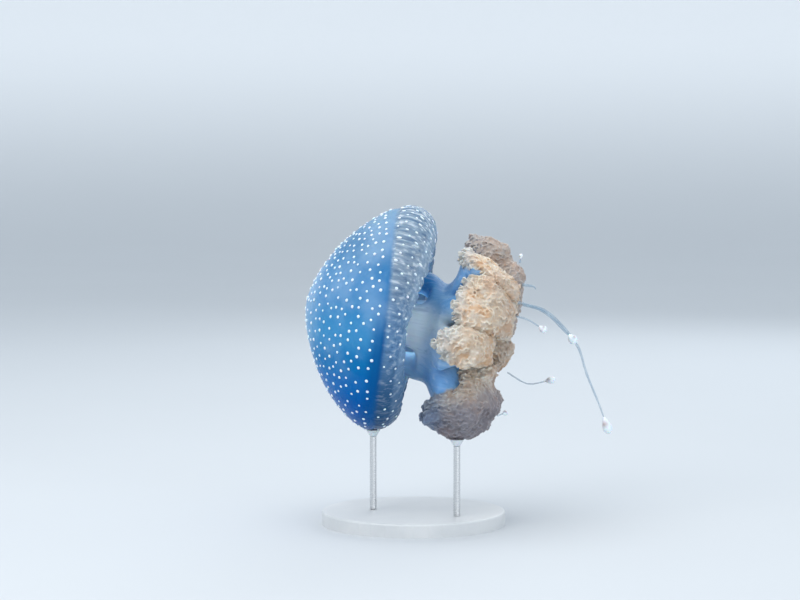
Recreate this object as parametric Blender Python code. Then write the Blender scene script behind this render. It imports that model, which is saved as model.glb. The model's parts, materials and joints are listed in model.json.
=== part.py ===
"""A white-spotted jellyfish swimming to the left, life size, held by a plain display stand.

The animal is modelled upright about its own axis: the apex of the bell points along +Z and the
centre of the bell's mouth is the origin. The empty "animal" then turns it into its swimming pose.
The stand is modelled where it stands, with the middle of its underside at the world's origin.
Angles round the animal's axis start at its upper side and run towards the world's +Y side.
"""

import math

import bmesh
import bpy
from mathutils import Matrix, Vector, noise

# Bell, seen in section: a slightly conical dome over a margin that curls in to the rim
BELL_RADIUS = 0.0745
WIDEST_LEVEL = 0.0098
DOME_HEIGHT = 0.0566
DOME_POWER = 1.57
RIM_RADIUS = 0.0580
RIM_LEVEL = -0.0065
APEX_THICKNESS = 0.0200
GROOVE_THICKNESS = 0.0042
RIM_THICKNESS = 0.0018
GROOVE_AT = 1.09              # along the section: 0 is the apex, 1 the widest ring, 2 the rim
BELL_SEGMENTS = 48

# Margin: eight octants between the sense organs, each ending in small lappets
OCTANTS = 8
LAPPETS_PER_OCTANT = 4
STEPS_PER_LAPPET = 3
FURROW_DEPTH = 0.07           # shares of the section's second stretch
NOTCH_DEPTH = 0.14

# Column: four pillars that carry the arm disc below the roof of the bell
PILLARS = 4
PILLAR_SIDES = 12
DISC_TOP = -0.0134
DISC_BOTTOM = -0.0244
WAIST_RADIUS = 0.0346
DISC_SEGMENTS = 24

# Oral arms and the frilled bundles at their ends, one value for each of the eight arms
ARMS = 8
ARM_SIDES = 10
ARM_DEGREES = (20, 65, 110, 158, 206, 262, 297, 338)
ARM_LIFT = (0.0000, -0.0010, -0.0020, -0.0010, 0.0000, 0.0040, 0.0005, 0.0010)
ARM_REACH = (0.0010, -0.0020, -0.0030, 0.0010, 0.0020, -0.0020, -0.0045, 0.0005)
FRILL_SIZE = (1.00, 0.94, 0.94, 1.02, 1.06, 1.03, 0.98, 1.06)
FRILL_STRETCH = (1.00, 0.95, 0.95, 1.00, 1.00, 0.66, 1.02, 1.00)   # along the axis
FRILL_TAPER = (0.0060, 0.0030, 0.0020, 0.0020, 0.0020, 0.0000, 0.0020, 0.0030)  # at the rear
FRILL_MIDDLE = -0.0470
FRILL_VOXEL = 0.0022
FRILL_TRIANGLES = 210
# Each lobe of a bundle: distance from the axis, sideways, level, radius
FRILL_LOBES = (
    (0.0545, 0.0030, -0.0340, 0.0095),
    (0.0500, -0.0075, -0.0390, 0.0090),
    (0.0540, 0.0070, -0.0465, 0.0115),
    (0.0525, -0.0075, -0.0500, 0.0120),
    (0.0450, 0.0050, -0.0590, 0.0120),
    (0.0420, -0.0060, -0.0600, 0.0115),
    (0.0300, 0.0020, -0.0610, 0.0105),
    (0.0330, -0.0020, -0.0500, 0.0100),
)

# Filaments that trail behind the arms, most of them ending in a white club. Each has the arm
# it grows from, its route (towards the upper side, towards +Y, level), its radii, the number
# of its lengths, and its club's length and width.
FILAMENT_SIDES = 6
FILAMENT_STEPS = 6
FILAMENT_ROOM = 0.0070        # a filament grows from the furthest knob this near to its line
CLUB_SEGMENTS = 8
FILAMENTS = (
    (7, ((0.0351, -0.0150, -0.0700), (0.0255, -0.0110, -0.0872), (0.0140, -0.0050, -0.1052)),
     (0.0013, 0.0007), 2, (0.0070, 0.0066)),
    (0, ((0.0330, 0.0060, -0.0700), (0.0245, 0.0090, -0.0890), (0.0087, 0.0110, -0.1110),
         (-0.0089, 0.0110, -0.1216), (-0.0263, 0.0100, -0.1335), (-0.0345, 0.0095, -0.1387)),
     (0.0013, 0.0006), 3, (0.0110, 0.0068)),
    (6, ((0.0216, -0.0280, -0.0690), (0.0195, -0.0260, -0.0780), (0.0166, -0.0240, -0.0860)),
     (0.0005, 0.0004), 1, (0.0054, 0.0050)),
    (2, ((-0.0220, 0.0280, -0.0690), (-0.0255, 0.0260, -0.0850), (-0.0212, 0.0220, -0.0960)),
     (0.0005, 0.0004), 1, (0.0072, 0.0048)),
    (4, ((-0.0420, -0.0180, -0.0700), (-0.0438, -0.0180, -0.0750)),
     (0.0006, 0.0005), 1, (0.0040, 0.0034)),
    (0, ((0.0520, 0.0100, -0.0620), (0.0548, 0.0105, -0.0640)),
     (0.0006, 0.0005), 1, (0.0030, 0.0026)),
    (0, ((0.0380, 0.0040, -0.0700), (0.0395, 0.0020, -0.0760), (0.0382, 0.0000, -0.0783)),
     (0.0010, 0.0004), 1, None),
)

# Pose: the axis is tilted up from level, and the apex turned a little towards +Y
AXIS_TILT = math.radians(11.9)
AXIS_TURN = math.radians(5.8)
RIM_CENTRE = Vector((-0.0050, 0.0005, 0.1330))

# Stand
BASE_RADIUS = 0.0600
BASE_HEIGHT = 0.0090
BASE_EDGE = 0.0012
ROD_RADIUS = 0.0022
PAD_RADIUS = 0.0046
PAD_HEIGHT = 0.0040

GAP = 0.00035                 # between touching pieces
TAU = 2 * math.pi


# ---- Materials and objects

def material(name, colour, roughness, metallic=0.0):
    made = bpy.data.materials.new(name)
    made.use_nodes = True
    shader = made.node_tree.nodes["Principled BSDF"]
    shader.inputs["Base Color"].default_value = (*colour, 1.0)
    shader.inputs["Roughness"].default_value = roughness
    shader.inputs["Metallic"].default_value = metallic
    return made


def place(name, bm, surface, parent=None, smooth=True):
    bmesh.ops.recalc_face_normals(bm, faces=bm.faces[:])
    mesh = bpy.data.meshes.new(name)
    bm.to_mesh(mesh)
    bm.free()
    if smooth:
        mesh.shade_smooth()
        mesh.set_sharp_from_angle(angle=math.radians(40))
    mesh.materials.append(surface)
    made = bpy.data.objects.new(name, mesh)
    bpy.context.collection.objects.link(made)
    made.parent = parent
    return made


def applied(holder, modifiers):
    """The object's mesh after these modifiers, as a bmesh. The object itself is removed."""
    for kind, settings in modifiers:
        step = holder.modifiers.new(kind.title(), kind)
        for key, value in settings.items():
            setattr(step, key, value)
    found = holder.evaluated_get(bpy.context.evaluated_depsgraph_get())
    bm = bmesh.new()
    bm.from_mesh(found.to_mesh())
    found.to_mesh_clear()
    bpy.data.objects.remove(holder)
    return bm


# ---- Shapes made by extruding one ring into the next

def ring_edges(bm, ring):
    return [bm.edges.get((a, b)) for a, b in zip(ring, ring[1:] + ring[:1])]


def extrude_ring(bm, ring, points):
    fresh = bmesh.ops.extrude_edge_only(bm, edges=ring_edges(bm, ring))["geom"]
    fresh = {v for v in fresh if isinstance(v, bmesh.types.BMVert)}
    following = [
        next(e.other_vert(v) for e in v.link_edges if e.other_vert(v) in fresh) for v in ring
    ]
    for vert, point in zip(following, points):
        vert.co = point
    return following


def loft(rings):
    """A closed solid through rings of points, with a flat cap at each end."""
    bm = bmesh.new()
    ring = [bm.verts.new(point) for point in rings[0]]
    bm.faces.new(ring)
    for points in rings[1:]:
        ring = extrude_ring(bm, ring, points)
    bm.faces.new(ring)
    return bm


def turned(profile, segments):
    """A solid of revolution from a profile of (radius, level) that starts and ends on the axis."""
    bm = bmesh.new()
    line = [bm.verts.new((radius, 0.0, level)) for radius, level in profile]
    edges = [bm.edges.new(pair) for pair in zip(line, line[1:])]
    bmesh.ops.spin(
        bm, geom=line + edges, cent=(0, 0, 0), axis=(0, 0, 1), angle=TAU, steps=segments,
        use_merge=True,
    )
    bmesh.ops.remove_doubles(bm, verts=bm.verts[:], dist=1e-6)
    return bm


def around(radius, angle, level):
    return Vector((radius * math.cos(angle), radius * math.sin(angle), level))


def signed_power(value, power):
    return math.copysign(abs(value) ** power, value)


# ---- Bell

def outer_section(along):
    """(radius, level) on the outer surface: 0 at the apex, 1 at the widest ring, 2 at the rim."""
    if along <= 1:
        turn = along * math.pi / 2
        radius = BELL_RADIUS * math.sin(turn) ** (2 / DOME_POWER)
        level = WIDEST_LEVEL + DOME_HEIGHT * max(math.cos(turn), 0.0) ** (2 / DOME_POWER)
        return Vector((radius, level))
    turn = (along - 1) * math.pi / 2
    radius = RIM_RADIUS + (BELL_RADIUS - RIM_RADIUS) * math.cos(turn)
    level = WIDEST_LEVEL - (WIDEST_LEVEL - RIM_LEVEL) * math.sin(turn)
    return Vector((radius, level))


def thickness(along):
    if along < GROOVE_AT:
        share = math.cos(along / GROOVE_AT * math.pi / 2) ** 1.3
        return GROOVE_THICKNESS + (APEX_THICKNESS - GROOVE_THICKNESS) * share
    share = (along - GROOVE_AT) / (2 - GROOVE_AT)
    return GROOVE_THICKNESS + (RIM_THICKNESS - GROOVE_THICKNESS) * share


def inner_section(along):
    """(radius, level) on the underside of the bell, one thickness in from the outer surface."""
    if along == 0:
        return Vector((0.0, outer_section(0)[1] - APEX_THICKNESS))
    step = 0.002
    run = outer_section(along + step) - outer_section(along - step)
    inward = Vector((run[1], -run[0])).normalized()
    return outer_section(along) + inward * thickness(along)


DOME_STATIONS = (0.0, 0.12, 0.26, 0.42, 0.58, 0.74, 0.89, 1.0, GROOVE_AT)
ROOF_STATIONS = (0.0, 0.16, 0.34, 0.52, 0.70, 0.87, GROOVE_AT)


def roof_level(radius):
    """Level of the faceted underside of the bell at this distance from the axis."""
    points = [inner_section(along) for along in ROOF_STATIONS]
    for a, b in zip(points, points[1:]):
        if radius <= b[0]:
            return a[1] + (b[1] - a[1]) * (radius - a[0]) / (b[0] - a[0])
    return points[-1][1]


def bell_dome(parent):
    profile = [outer_section(along) for along in DOME_STATIONS]
    profile += [inner_section(along) for along in reversed(ROOF_STATIONS)]
    profile[0][0] = profile[-1][0] = 0.0
    surface = material("bell gel", (0.10, 0.32, 0.62), 0.25)
    place("bell_dome", turned(profile, BELL_SEGMENTS), surface, parent)


def margin_end(share):
    """Where the margin ends along the section, at this share of an octant's width."""
    lappet = abs(math.sin(share * LAPPETS_PER_OCTANT * math.pi))
    end = 2 - FURROW_DEPTH * (1 - lappet)
    return end - NOTCH_DEPTH / 2 if share in (0, 1) else end


def bell_margin(parent):
    start = GROOVE_AT + GAP / (BELL_RADIUS - RIM_RADIUS) / (math.pi / 2)
    steps = LAPPETS_PER_OCTANT * STEPS_PER_LAPPET
    width = TAU / OCTANTS - GAP / RIM_RADIUS
    for octant in range(OCTANTS):
        rings = []
        for step in range(steps + 1):
            angle = TAU * octant / OCTANTS + (step / steps - 0.5) * width
            end = margin_end(step / steps)
            stations = [start + (end - start) * k / 4 for k in range(5)]
            section = [outer_section(along) for along in stations]
            section += [inner_section(along) for along in reversed(stations[:-1])]
            rings.append([around(radius, angle, level) for radius, level in section])
        surface = material(f"margin gel {octant + 1}", (0.20, 0.30, 0.42), 0.35)
        place(f"bell_margin_{octant + 1}", loft(rings), surface, parent)


# ---- Column

def pillar_ring(angle, inner, outer, half_width, level):
    """A rounded section that wraps round the axis, at one level or against the roof."""
    middle, depth = (outer + inner) / 2, (outer - inner) / 2
    points = []
    for side in range(PILLAR_SIDES):
        turn = TAU * side / PILLAR_SIDES
        radius = middle + depth * signed_power(math.cos(turn), 0.75)
        swing = half_width * signed_power(math.sin(turn), 0.75) / middle
        height = roof_level(radius) - GAP * 1.3 if level is None else level
        points.append(around(radius, angle + swing, height))
    return points


def pillars(parent):
    for number in range(PILLARS):
        angle = TAU * number / PILLARS
        rings = [
            pillar_ring(angle, 0.0190, 0.0352, 0.0165, DISC_TOP + GAP),
            pillar_ring(angle, 0.0195, 0.0348, 0.0148, -0.0080),
            pillar_ring(angle, 0.0200, 0.0356, 0.0130, 0.0040),
            pillar_ring(angle, 0.0198, 0.0372, 0.0126, 0.0180),
            pillar_ring(angle, 0.0180, 0.0405, 0.0145, 0.0290),
            pillar_ring(angle, 0.0150, 0.0450, 0.0185, None),
            pillar_ring(angle, 0.0225, 0.0370, 0.0090, None),
        ]
        surface = material(f"pillar gel {number + 1}", (0.27, 0.39, 0.55), 0.3)
        place(f"pillar_{number + 1}", loft(rings), surface, parent)


def arm_disc(parent):
    profile = (
        (0.0, DISC_TOP - 0.0030),
        (0.0150, DISC_TOP - 0.0022),
        (0.0195, DISC_TOP),
        (0.0348, DISC_TOP),
        (WAIST_RADIUS, -0.0172),
        (0.0366, -0.0212),
        (0.0402, DISC_BOTTOM),
        (0.0, DISC_BOTTOM),
    )
    surface = material("arm disc gel", (0.27, 0.39, 0.55), 0.3)
    place("arm_disc", turned(profile, DISC_SEGMENTS), surface, parent)


# ---- Oral arms and frills

def arm_angle(number):
    return math.radians(ARM_DEGREES[number % ARMS]) + TAU * (number // ARMS)


def arm_borders(number):
    """The angles halfway to the neighbouring arms."""
    here = arm_angle(number)
    return (arm_angle(number - 1) + here) / 2, (here + arm_angle(number + 1)) / 2


def arm_rings(number, grow=0.0):
    """An arm leaves the disc as a wedge of it and bends outwards, rounding as it goes."""
    angle, lift, reach = arm_angle(number), ARM_LIFT[number], ARM_REACH[number]
    low, high = arm_borders(number)
    # inner and outer distance from the axis, half width, roundness, level, tilt of the section
    sections = (
        (0.0090, 0.0402, 0.95, DISC_BOTTOM - GAP + grow, 0.0),
        (0.0150, 0.0450 + reach / 3, 0.80, -0.0285, 0.0015),
        (0.0250, 0.0500 + reach, 0.62, -0.0345 + lift / 2, 0.0035),
        (0.0310, 0.0515 + reach, 0.50, -0.0410 + lift, 0.0040),
        (0.0345, 0.0500 + reach, 0.40, -0.0470 + lift, 0.0030),
    )
    rings = []
    for inner, outer, wide, level, slant in sections:
        middle, depth = (outer + inner) / 2, (outer - inner) / 2 + grow
        points = []
        for side in range(ARM_SIDES):
            turn = TAU * side / ARM_SIDES
            radius = middle + depth * signed_power(math.cos(turn), 0.8)
            room = high - angle if math.sin(turn) > 0 else angle - low
            half = wide * radius * math.tan(room) - GAP + grow
            sideways = half * signed_power(math.sin(turn), 0.7)
            height = level + slant * math.cos(turn)
            point = Matrix.Rotation(angle, 3, "Z") @ Vector((radius, sideways, height))
            points.append(point)
        rings.append(points)
    rings[-1] = [p - Vector((0, 0, grow)) for p in rings[-1]]
    return rings


def oral_arms(parent):
    for number in range(ARMS):
        surface = material(f"arm gel {number + 1}", (0.30, 0.40, 0.50), 0.3)
        place(f"oral_arm_{number + 1}", loft(arm_rings(number)), surface, parent)


def ruffle(point, number):
    """How far the frill swells outwards here: broad folds with finer ones on them."""
    shift = Vector((number * 3.1, number * 1.7, number * 0.9))
    broad = noise.noise(point * 95 + shift)
    fine = abs(noise.noise(point * 210 + shift * 2))
    return 0.0026 * broad + 0.0030 * fine - 0.0006


def largest_piece(bm):
    """Only the largest connected piece is kept."""
    left, pieces = set(bm.verts), []
    while left:
        todo, piece = [left.pop()], set()
        while todo:
            vert = todo.pop()
            piece.add(vert)
            fresh = [e.other_vert(vert) for e in vert.link_edges if e.other_vert(vert) in left]
            left.difference_update(fresh)
            todo.extend(fresh)
        pieces.append(piece)
    pieces.sort(key=len)
    bmesh.ops.delete(bm, geom=[v for piece in pieces[:-1] for v in piece], context="VERTS")
    return bm


def sector_wedge(number, bottom, top):
    """The share of the space round the axis that one arm keeps to."""
    low, high = arm_borders(number)
    near = around(GAP / 2 / math.sin((high - low) / 2), (low + high) / 2, 0.0)
    corners = [near] + [near + around(0.12, border, 0.0) for border in (low, high)]
    return loft([[Vector((p.x, p.y, level)) for p in corners] for level in (bottom, top)])


def frill(number, parent, surface):
    size, lift, reach = FRILL_SIZE[number], ARM_LIFT[number], ARM_REACH[number]
    mirror = 1 if number % 2 else -1
    turn = Matrix.Rotation(arm_angle(number), 3, "Z")
    bm = bmesh.new()
    for radius, sideways, level, girth in FRILL_LOBES:
        rear = max(FRILL_MIDDLE - level, 0.0) / 0.014
        level = FRILL_MIDDLE + (level - FRILL_MIDDLE) * FRILL_STRETCH[number] + lift
        radius += reach - FRILL_TAPER[number] * rear
        centre = turn @ Vector((radius, sideways * mirror, level))
        bmesh.ops.create_icosphere(
            bm, subdivisions=3, radius=girth * size, matrix=Matrix.Translation(centre)
        )
    whole = place("frill shape", bm, surface)
    bm = applied(whole, [("REMESH", {"mode": "VOXEL", "voxel_size": FRILL_VOXEL})])
    bm.normal_update()
    moves = [(v, v.normal * ruffle(v.co, number)) for v in bm.verts]
    for vert, move in moves:
        vert.co += move
    triangles = 2 * len(bm.faces)
    whole = place("frill shape", bm, surface)
    cutters = [
        place("frill sector", sector_wedge(number, -0.09, -0.01), surface),
        place("frill arm", loft(arm_rings(number, GAP)), surface),
    ]
    bm = applied(whole, [
        ("DECIMATE", {"ratio": FRILL_TRIANGLES / triangles}),
        ("BOOLEAN", {"operation": "INTERSECT", "object": cutters[0]}),
        ("BOOLEAN", {"operation": "DIFFERENCE", "object": cutters[1]}),
    ])
    for cutter in cutters:
        bpy.data.objects.remove(cutter)
    bmesh.ops.dissolve_degenerate(bm, dist=1e-6, edges=bm.edges[:])
    return place(f"arm_frill_{number + 1}", largest_piece(bm), surface, parent)


# ---- Filaments

def tube(points, start_radius, end_radius):
    """A tapering tube of constant sides along a smooth line of points."""
    rings, side = [], Vector((0.0, 1.0, 0.0))
    for k, point in enumerate(points):
        run = (points[min(k + 1, len(points) - 1)] - points[max(k - 1, 0)]).normalized()
        side = (side - run * side.dot(run)).normalized()
        other = run.cross(side)
        radius = start_radius + (end_radius - start_radius) * k / (len(points) - 1)
        rings.append([
            point + (side * math.cos(turn) + other * math.sin(turn)) * radius
            for turn in (TAU * s / FILAMENT_SIDES for s in range(FILAMENT_SIDES))
        ])
    return loft(rings)


def smooth_line(corners, count):
    """Evenly stepped points on a Catmull-Rom curve through the corners."""
    ends = [2 * corners[0] - corners[1], *corners, 2 * corners[-1] - corners[-2]]
    points = []
    for k in range(count):
        place_on = k / (count - 1) * (len(corners) - 1)
        part = min(int(place_on), len(corners) - 2)
        t = place_on - part
        a, b, c, d = ends[part:part + 4]
        points.append(
            0.5 * (2 * b + (c - a) * t + (2 * a - 5 * b + 4 * c - d) * t * t
                   + (3 * b - a - 3 * c + d) * t ** 3)
        )
    return points


def club(name, start, direction, length, width, parent):
    """A teardrop that hangs from a filament's end."""
    shares = ((0.0, 0.22), (0.18, 0.48), (0.42, 0.86), (0.68, 1.0), (0.88, 0.72), (1.0, 0.26))
    points = [start + direction * length * along for along, _ in shares]
    side = direction.orthogonal().normalized()
    other = direction.cross(side)
    rings = [
        [
            point + (side * math.cos(turn) + other * math.sin(turn)) * width / 2 * swell
            for turn in (TAU * s / CLUB_SEGMENTS for s in range(CLUB_SEGMENTS))
        ]
        for point, (_, swell) in zip(points, shares)
    ]
    surface = material(name + " white", (0.78, 0.84, 0.88), 0.35)
    place(name, loft(rings), surface, parent)


def filament(number, root, route, radii, lengths, club_size, parent):
    """A filament in a few lengths, in line with each other, that leaves a knob of its frill."""
    route = [Vector(corner) for corner in route]
    outwards = (route[1] - route[0]).normalized()
    near = [
        v.co for v in root.data.vertices
        if (v.co - route[0]).cross(outwards).length < FILAMENT_ROOM
    ]
    tip = max(near, key=lambda spot: spot.dot(outwards))
    corners = [tip + (route[1] - tip).normalized() * GAP * 1.5, *route[1:]]
    points = smooth_line(corners, lengths * FILAMENT_STEPS + 1)
    start_radius, end_radius = radii
    for k in range(lengths):
        run = points[k * FILAMENT_STEPS:(k + 1) * FILAMENT_STEPS + 1]
        if k:
            run[0] = run[0] + (run[1] - run[0]).normalized() * GAP
        surface = material(f"filament gel {number}-{k + 1}", (0.20, 0.38, 0.50), 0.2)
        here = start_radius + (end_radius - start_radius) * k / lengths
        there = start_radius + (end_radius - start_radius) * (k + 1) / lengths
        name = f"filament_{number}" + ("_" + "abc"[k] if lengths > 1 else "")
        place(name, tube(run, here, there), surface, parent)
    if club_size:
        direction = (points[-1] - points[-2]).normalized()
        length, width = club_size
        club(f"club_{number}", points[-1] + direction * GAP, direction, length, width, parent)


# ---- Stand

def lowest_bell_point(pose):
    """The lowest point of the bell's outer surface, in the world."""
    found = None
    for k in range(100, 200):
        radius, level = outer_section(k / 100)
        for step in range(-20, 21):
            point = pose @ around(radius, math.pi + step * math.radians(0.5), level)
            if found is None or point.z < found.z:
                found = point
    return found


def lowest_vertex(made):
    return min((made.matrix_world @ v.co for v in made.data.vertices), key=lambda p: p.z)


def stand_base():
    bm = bmesh.new()
    bmesh.ops.create_cone(
        bm, cap_ends=True, segments=40, radius1=BASE_RADIUS, radius2=BASE_RADIUS,
        depth=BASE_HEIGHT, matrix=Matrix.Translation((0, 0, BASE_HEIGHT / 2)),
    )
    rim = [e for e in bm.edges if all(v.co.z > BASE_HEIGHT * 0.9 for v in e.verts)]
    bmesh.ops.bevel(
        bm, geom=rim, offset=BASE_EDGE, segments=2, profile=0.5, affect="EDGES", material=-1
    )
    surface = material("stand base", (0.62, 0.62, 0.60), 0.4)
    place("stand_base", bm, surface)


def stand_rod(name, top):
    """An upright rod with a small pad under the body."""
    levels = ((BASE_HEIGHT + GAP, 1.0), (top.z - GAP - PAD_HEIGHT - GAP, 1.0))
    rings = [[
        Vector((top.x + ROD_RADIUS * size * math.cos(TAU * s / 12),
                top.y + ROD_RADIUS * size * math.sin(TAU * s / 12), level))
        for s in range(12)
    ] for level, size in levels]
    place(f"stand_rod_{name}", loft(rings), material(f"rod {name}", (0.6, 0.6, 0.6), 0.25, 1.0))
    levels = ((PAD_HEIGHT, ROD_RADIUS / PAD_RADIUS), (PAD_HEIGHT * 0.3, 0.85), (0.0, 1.0))
    rings = [[
        Vector((top.x + PAD_RADIUS * size * math.cos(TAU * s / 16),
                top.y + PAD_RADIUS * size * math.sin(TAU * s / 16), top.z - GAP - down))
        for s in range(16)
    ] for down, size in levels]
    place(f"stand_pad_{name}", loft(rings), material(f"pad {name}", (0.75, 0.78, 0.8), 0.5))


def main():
    for made in list(bpy.data.objects):
        bpy.data.objects.remove(made)
    apex = Vector((
        -math.cos(AXIS_TILT) * math.cos(AXIS_TURN),
        math.sin(AXIS_TURN),
        math.sin(AXIS_TILT) * math.cos(AXIS_TURN),
    ))
    upper = Vector((math.sin(AXIS_TILT), 0.0, math.cos(AXIS_TILT)))
    pose = Matrix((upper, apex.cross(upper), apex)).transposed().to_4x4()
    pose.translation = RIM_CENTRE
    animal = bpy.data.objects.new("animal", None)
    bpy.context.collection.objects.link(animal)

    bell_dome(animal)
    bell_margin(animal)
    pillars(animal)
    arm_disc(animal)
    oral_arms(animal)
    frills = []
    for number in range(ARMS):
        surface = material(f"frill {number + 1}", (0.58, 0.48, 0.38), 0.55)
        frills.append(frill(number, animal, surface))
    bpy.context.view_layer.update()
    for number, (arm, *details) in enumerate(FILAMENTS):
        filament(number + 1, frills[arm], *details, animal)

    animal.matrix_world = pose
    bpy.context.view_layer.update()

    stand_base()
    stand_rod("bell", lowest_bell_point(pose))
    stand_rod("arms", min((lowest_vertex(made) for made in frills), key=lambda p: p.z))


main()
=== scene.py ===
import json
import math
import random

import bmesh
import bpy
import numpy as np
from mathutils import Matrix, Vector, noise
from mathutils.bvhtree import BVHTree

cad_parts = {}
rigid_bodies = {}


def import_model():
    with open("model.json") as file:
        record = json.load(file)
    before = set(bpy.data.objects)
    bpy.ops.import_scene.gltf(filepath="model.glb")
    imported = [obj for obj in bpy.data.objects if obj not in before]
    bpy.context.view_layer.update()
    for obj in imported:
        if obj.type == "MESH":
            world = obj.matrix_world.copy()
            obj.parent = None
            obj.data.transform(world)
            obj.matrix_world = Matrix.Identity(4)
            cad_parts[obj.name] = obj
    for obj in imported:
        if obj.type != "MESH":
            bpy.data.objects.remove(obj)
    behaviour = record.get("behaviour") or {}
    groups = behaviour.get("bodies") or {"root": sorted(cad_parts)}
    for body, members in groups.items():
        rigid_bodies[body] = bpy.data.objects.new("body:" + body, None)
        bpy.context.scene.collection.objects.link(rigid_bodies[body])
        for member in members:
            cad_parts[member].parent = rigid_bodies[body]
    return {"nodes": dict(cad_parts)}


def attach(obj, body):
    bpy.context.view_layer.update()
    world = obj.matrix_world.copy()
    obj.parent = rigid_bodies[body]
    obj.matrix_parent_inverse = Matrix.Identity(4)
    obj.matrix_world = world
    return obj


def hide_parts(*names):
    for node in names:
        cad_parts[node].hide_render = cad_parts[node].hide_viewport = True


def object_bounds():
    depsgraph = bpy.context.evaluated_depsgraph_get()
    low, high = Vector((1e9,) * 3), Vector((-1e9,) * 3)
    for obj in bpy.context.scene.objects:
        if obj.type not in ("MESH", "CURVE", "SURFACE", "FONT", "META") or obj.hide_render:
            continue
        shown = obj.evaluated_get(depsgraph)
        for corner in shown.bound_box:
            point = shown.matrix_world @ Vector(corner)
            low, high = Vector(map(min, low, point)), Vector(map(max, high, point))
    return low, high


for spare in list(bpy.data.objects):
    bpy.data.objects.remove(spare)
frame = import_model()
cadLow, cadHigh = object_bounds()
cadNodes = frame["nodes"]
mm = 0.001
fullTurn = 2 * math.pi
noise.seed_set(7)     # or noise_vector differs from run to run

# The animal is shaped upright, its apex along +Z and the middle of its mouth at the origin,
# and then turned into its swimming pose, where its +X is the upper side.
pose = {
    "axisTilt": math.radians(11.9),    # apex raised from level
    "axisTurn": math.radians(5.8),     # apex turned away from the front
    "mouthCentre": Vector((-0.0050, 0.0005, 0.1330)),
}
apexWay = Vector((
    -math.cos(pose["axisTilt"]) * math.cos(pose["axisTurn"]),
    math.sin(pose["axisTurn"]),
    math.sin(pose["axisTilt"]) * math.cos(pose["axisTurn"]),
))
upperWay = Vector((math.sin(pose["axisTilt"]), 0.0, math.cos(pose["axisTilt"])))
toWorld = Matrix((upperWay, apexWay.cross(upperWay), apexWay)).transposed().to_4x4()
toWorld.translation = pose["mouthCentre"]
toAnimal = toWorld.inverted()


# Shader helpers: each one adds to the finish that newFinish opened last

opened = {}


def newFinish(name):
    finish = bpy.data.materials.new(name)
    finish.use_nodes = True
    opened["tree"] = finish.node_tree
    return finish, finish.node_tree.nodes["Principled BSDF"]


def feed(socket, value):
    if isinstance(value, bpy.types.NodeSocket):
        opened["tree"].links.new(value, socket)
    elif isinstance(value, tuple) and len(value) == 3 and socket.type == "RGBA":
        socket.default_value = (*value, 1.0)
    else:
        socket.default_value = value


def feedAll(node, given):
    for key, value in given.items():
        feed(node.inputs[key], value)


def newNode(kind, *given, **settings):
    node = opened["tree"].nodes.new("ShaderNode" + kind)
    for key, value in settings.items():
        setattr(node, key, value)
    for socket, value in zip(node.inputs, given):
        feed(socket, value)
    return node


def calc(operation, first, second=0.0, third=0.0):
    return newNode("Math", first, second, third, operation=operation).outputs[0]


def times(first, second):
    return calc("MULTIPLY", first, second)


def mixed(share, first, second):
    node = newNode("Mix", share, data_type="RGBA")
    feedAll(node, {6: first, 7: second})
    return node.outputs[2]


def ranged(value, low, high, outLow=0.0, outHigh=1.0):
    return newNode(
        "MapRange", value, low, high, outLow, outHigh, interpolation_type="SMOOTHSTEP"
    ).outputs[0]


def ramped(value, stops):
    node = newNode("ValToRGB", value)
    node.color_ramp.interpolation = "EASE"
    marks = node.color_ramp.elements
    while len(marks) < len(stops):
        marks.new(0.5)
    for mark, (place, colour) in zip(marks, stops):
        mark.position = place
        mark.color = (*colour, 1.0) if isinstance(colour, tuple) else (colour,) * 3 + (1.0,)
    return node.outputs[0]


def mottled(coords, scale, detail=3.0, roughness=0.55, distortion=0.0, stretch=None):
    if stretch:
        wide = newNode("Mapping", coords)
        feed(wide.inputs["Scale"], stretch)
        coords = wide.outputs[0]
    node = newNode("TexNoise", coords)
    feedAll(node, {
        "Scale": scale, "Detail": detail, "Roughness": roughness, "Distortion": distortion,
    })
    return node.outputs["Fac"]


def bumped(height, strength, depth, below=None):
    node = newNode("Bump")
    feedAll(node, {"Strength": strength, "Distance": depth, "Height": height})
    if below:
        feed(node.inputs["Normal"], below)
    return node.outputs[0]


def objectCoords():
    return newNode("TexCoord").outputs["Object"]


def animalCoords():
    # object coordinates turned so that Z is the animal's own axis
    turned = newNode("Mapping", objectCoords(), vector_type="TEXTURE")
    feedAll(turned, {"Location": pose["mouthCentre"], "Rotation": toWorld.to_euler()})
    return turned.outputs[0]


def attributeNode(name):
    return newNode("Attribute", attribute_name=name)


def splitXyz(vector):
    return newNode("SeparateXYZ", vector).outputs


def splitColour(colour):
    return newNode("SeparateColor", colour).outputs


def plainFinish(name, look, coords):
    # two tones in soft clouds, an uneven gloss and a fine bump
    finish, shader = newFinish(name)
    place = coords()
    cloud = mottled(place, *look["cloud"], stretch=look.get("stretch"))
    share = ranged(cloud, *look["between"]) if "between" in look else cloud
    fine = mottled(place, *look["fine"]) if "fine" in look else cloud
    feedAll(shader, {
        "Base Color": mixed(share, *look["tones"]),
        "Roughness": ranged(cloud, *look["gloss"]),
        "Normal": bumped(fine, *look["bump"]),
        **look["settings"],
    })
    return finish


# Mesh helpers

def objectFrom(bm, name, finish=None):
    mesh = bpy.data.meshes.new(name)
    bm.to_mesh(mesh)
    bm.free()
    mesh.shade_smooth()
    if finish:
        mesh.materials.append(finish)
    made = bpy.data.objects.new(name, mesh)
    bpy.context.scene.collection.objects.link(made)
    return made


def withModifier(made, kind, **settings):
    # applies the modifier and keeps the same object
    step = made.modifiers.new(kind.title(), kind)
    for key, value in settings.items():
        setattr(step, key, value)
    found = made.evaluated_get(bpy.context.evaluated_depsgraph_get())
    mesh = bpy.data.meshes.new_from_object(found)
    made.modifiers.clear()
    spent, made.data = made.data, mesh
    bpy.data.meshes.remove(spent)
    return made


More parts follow.
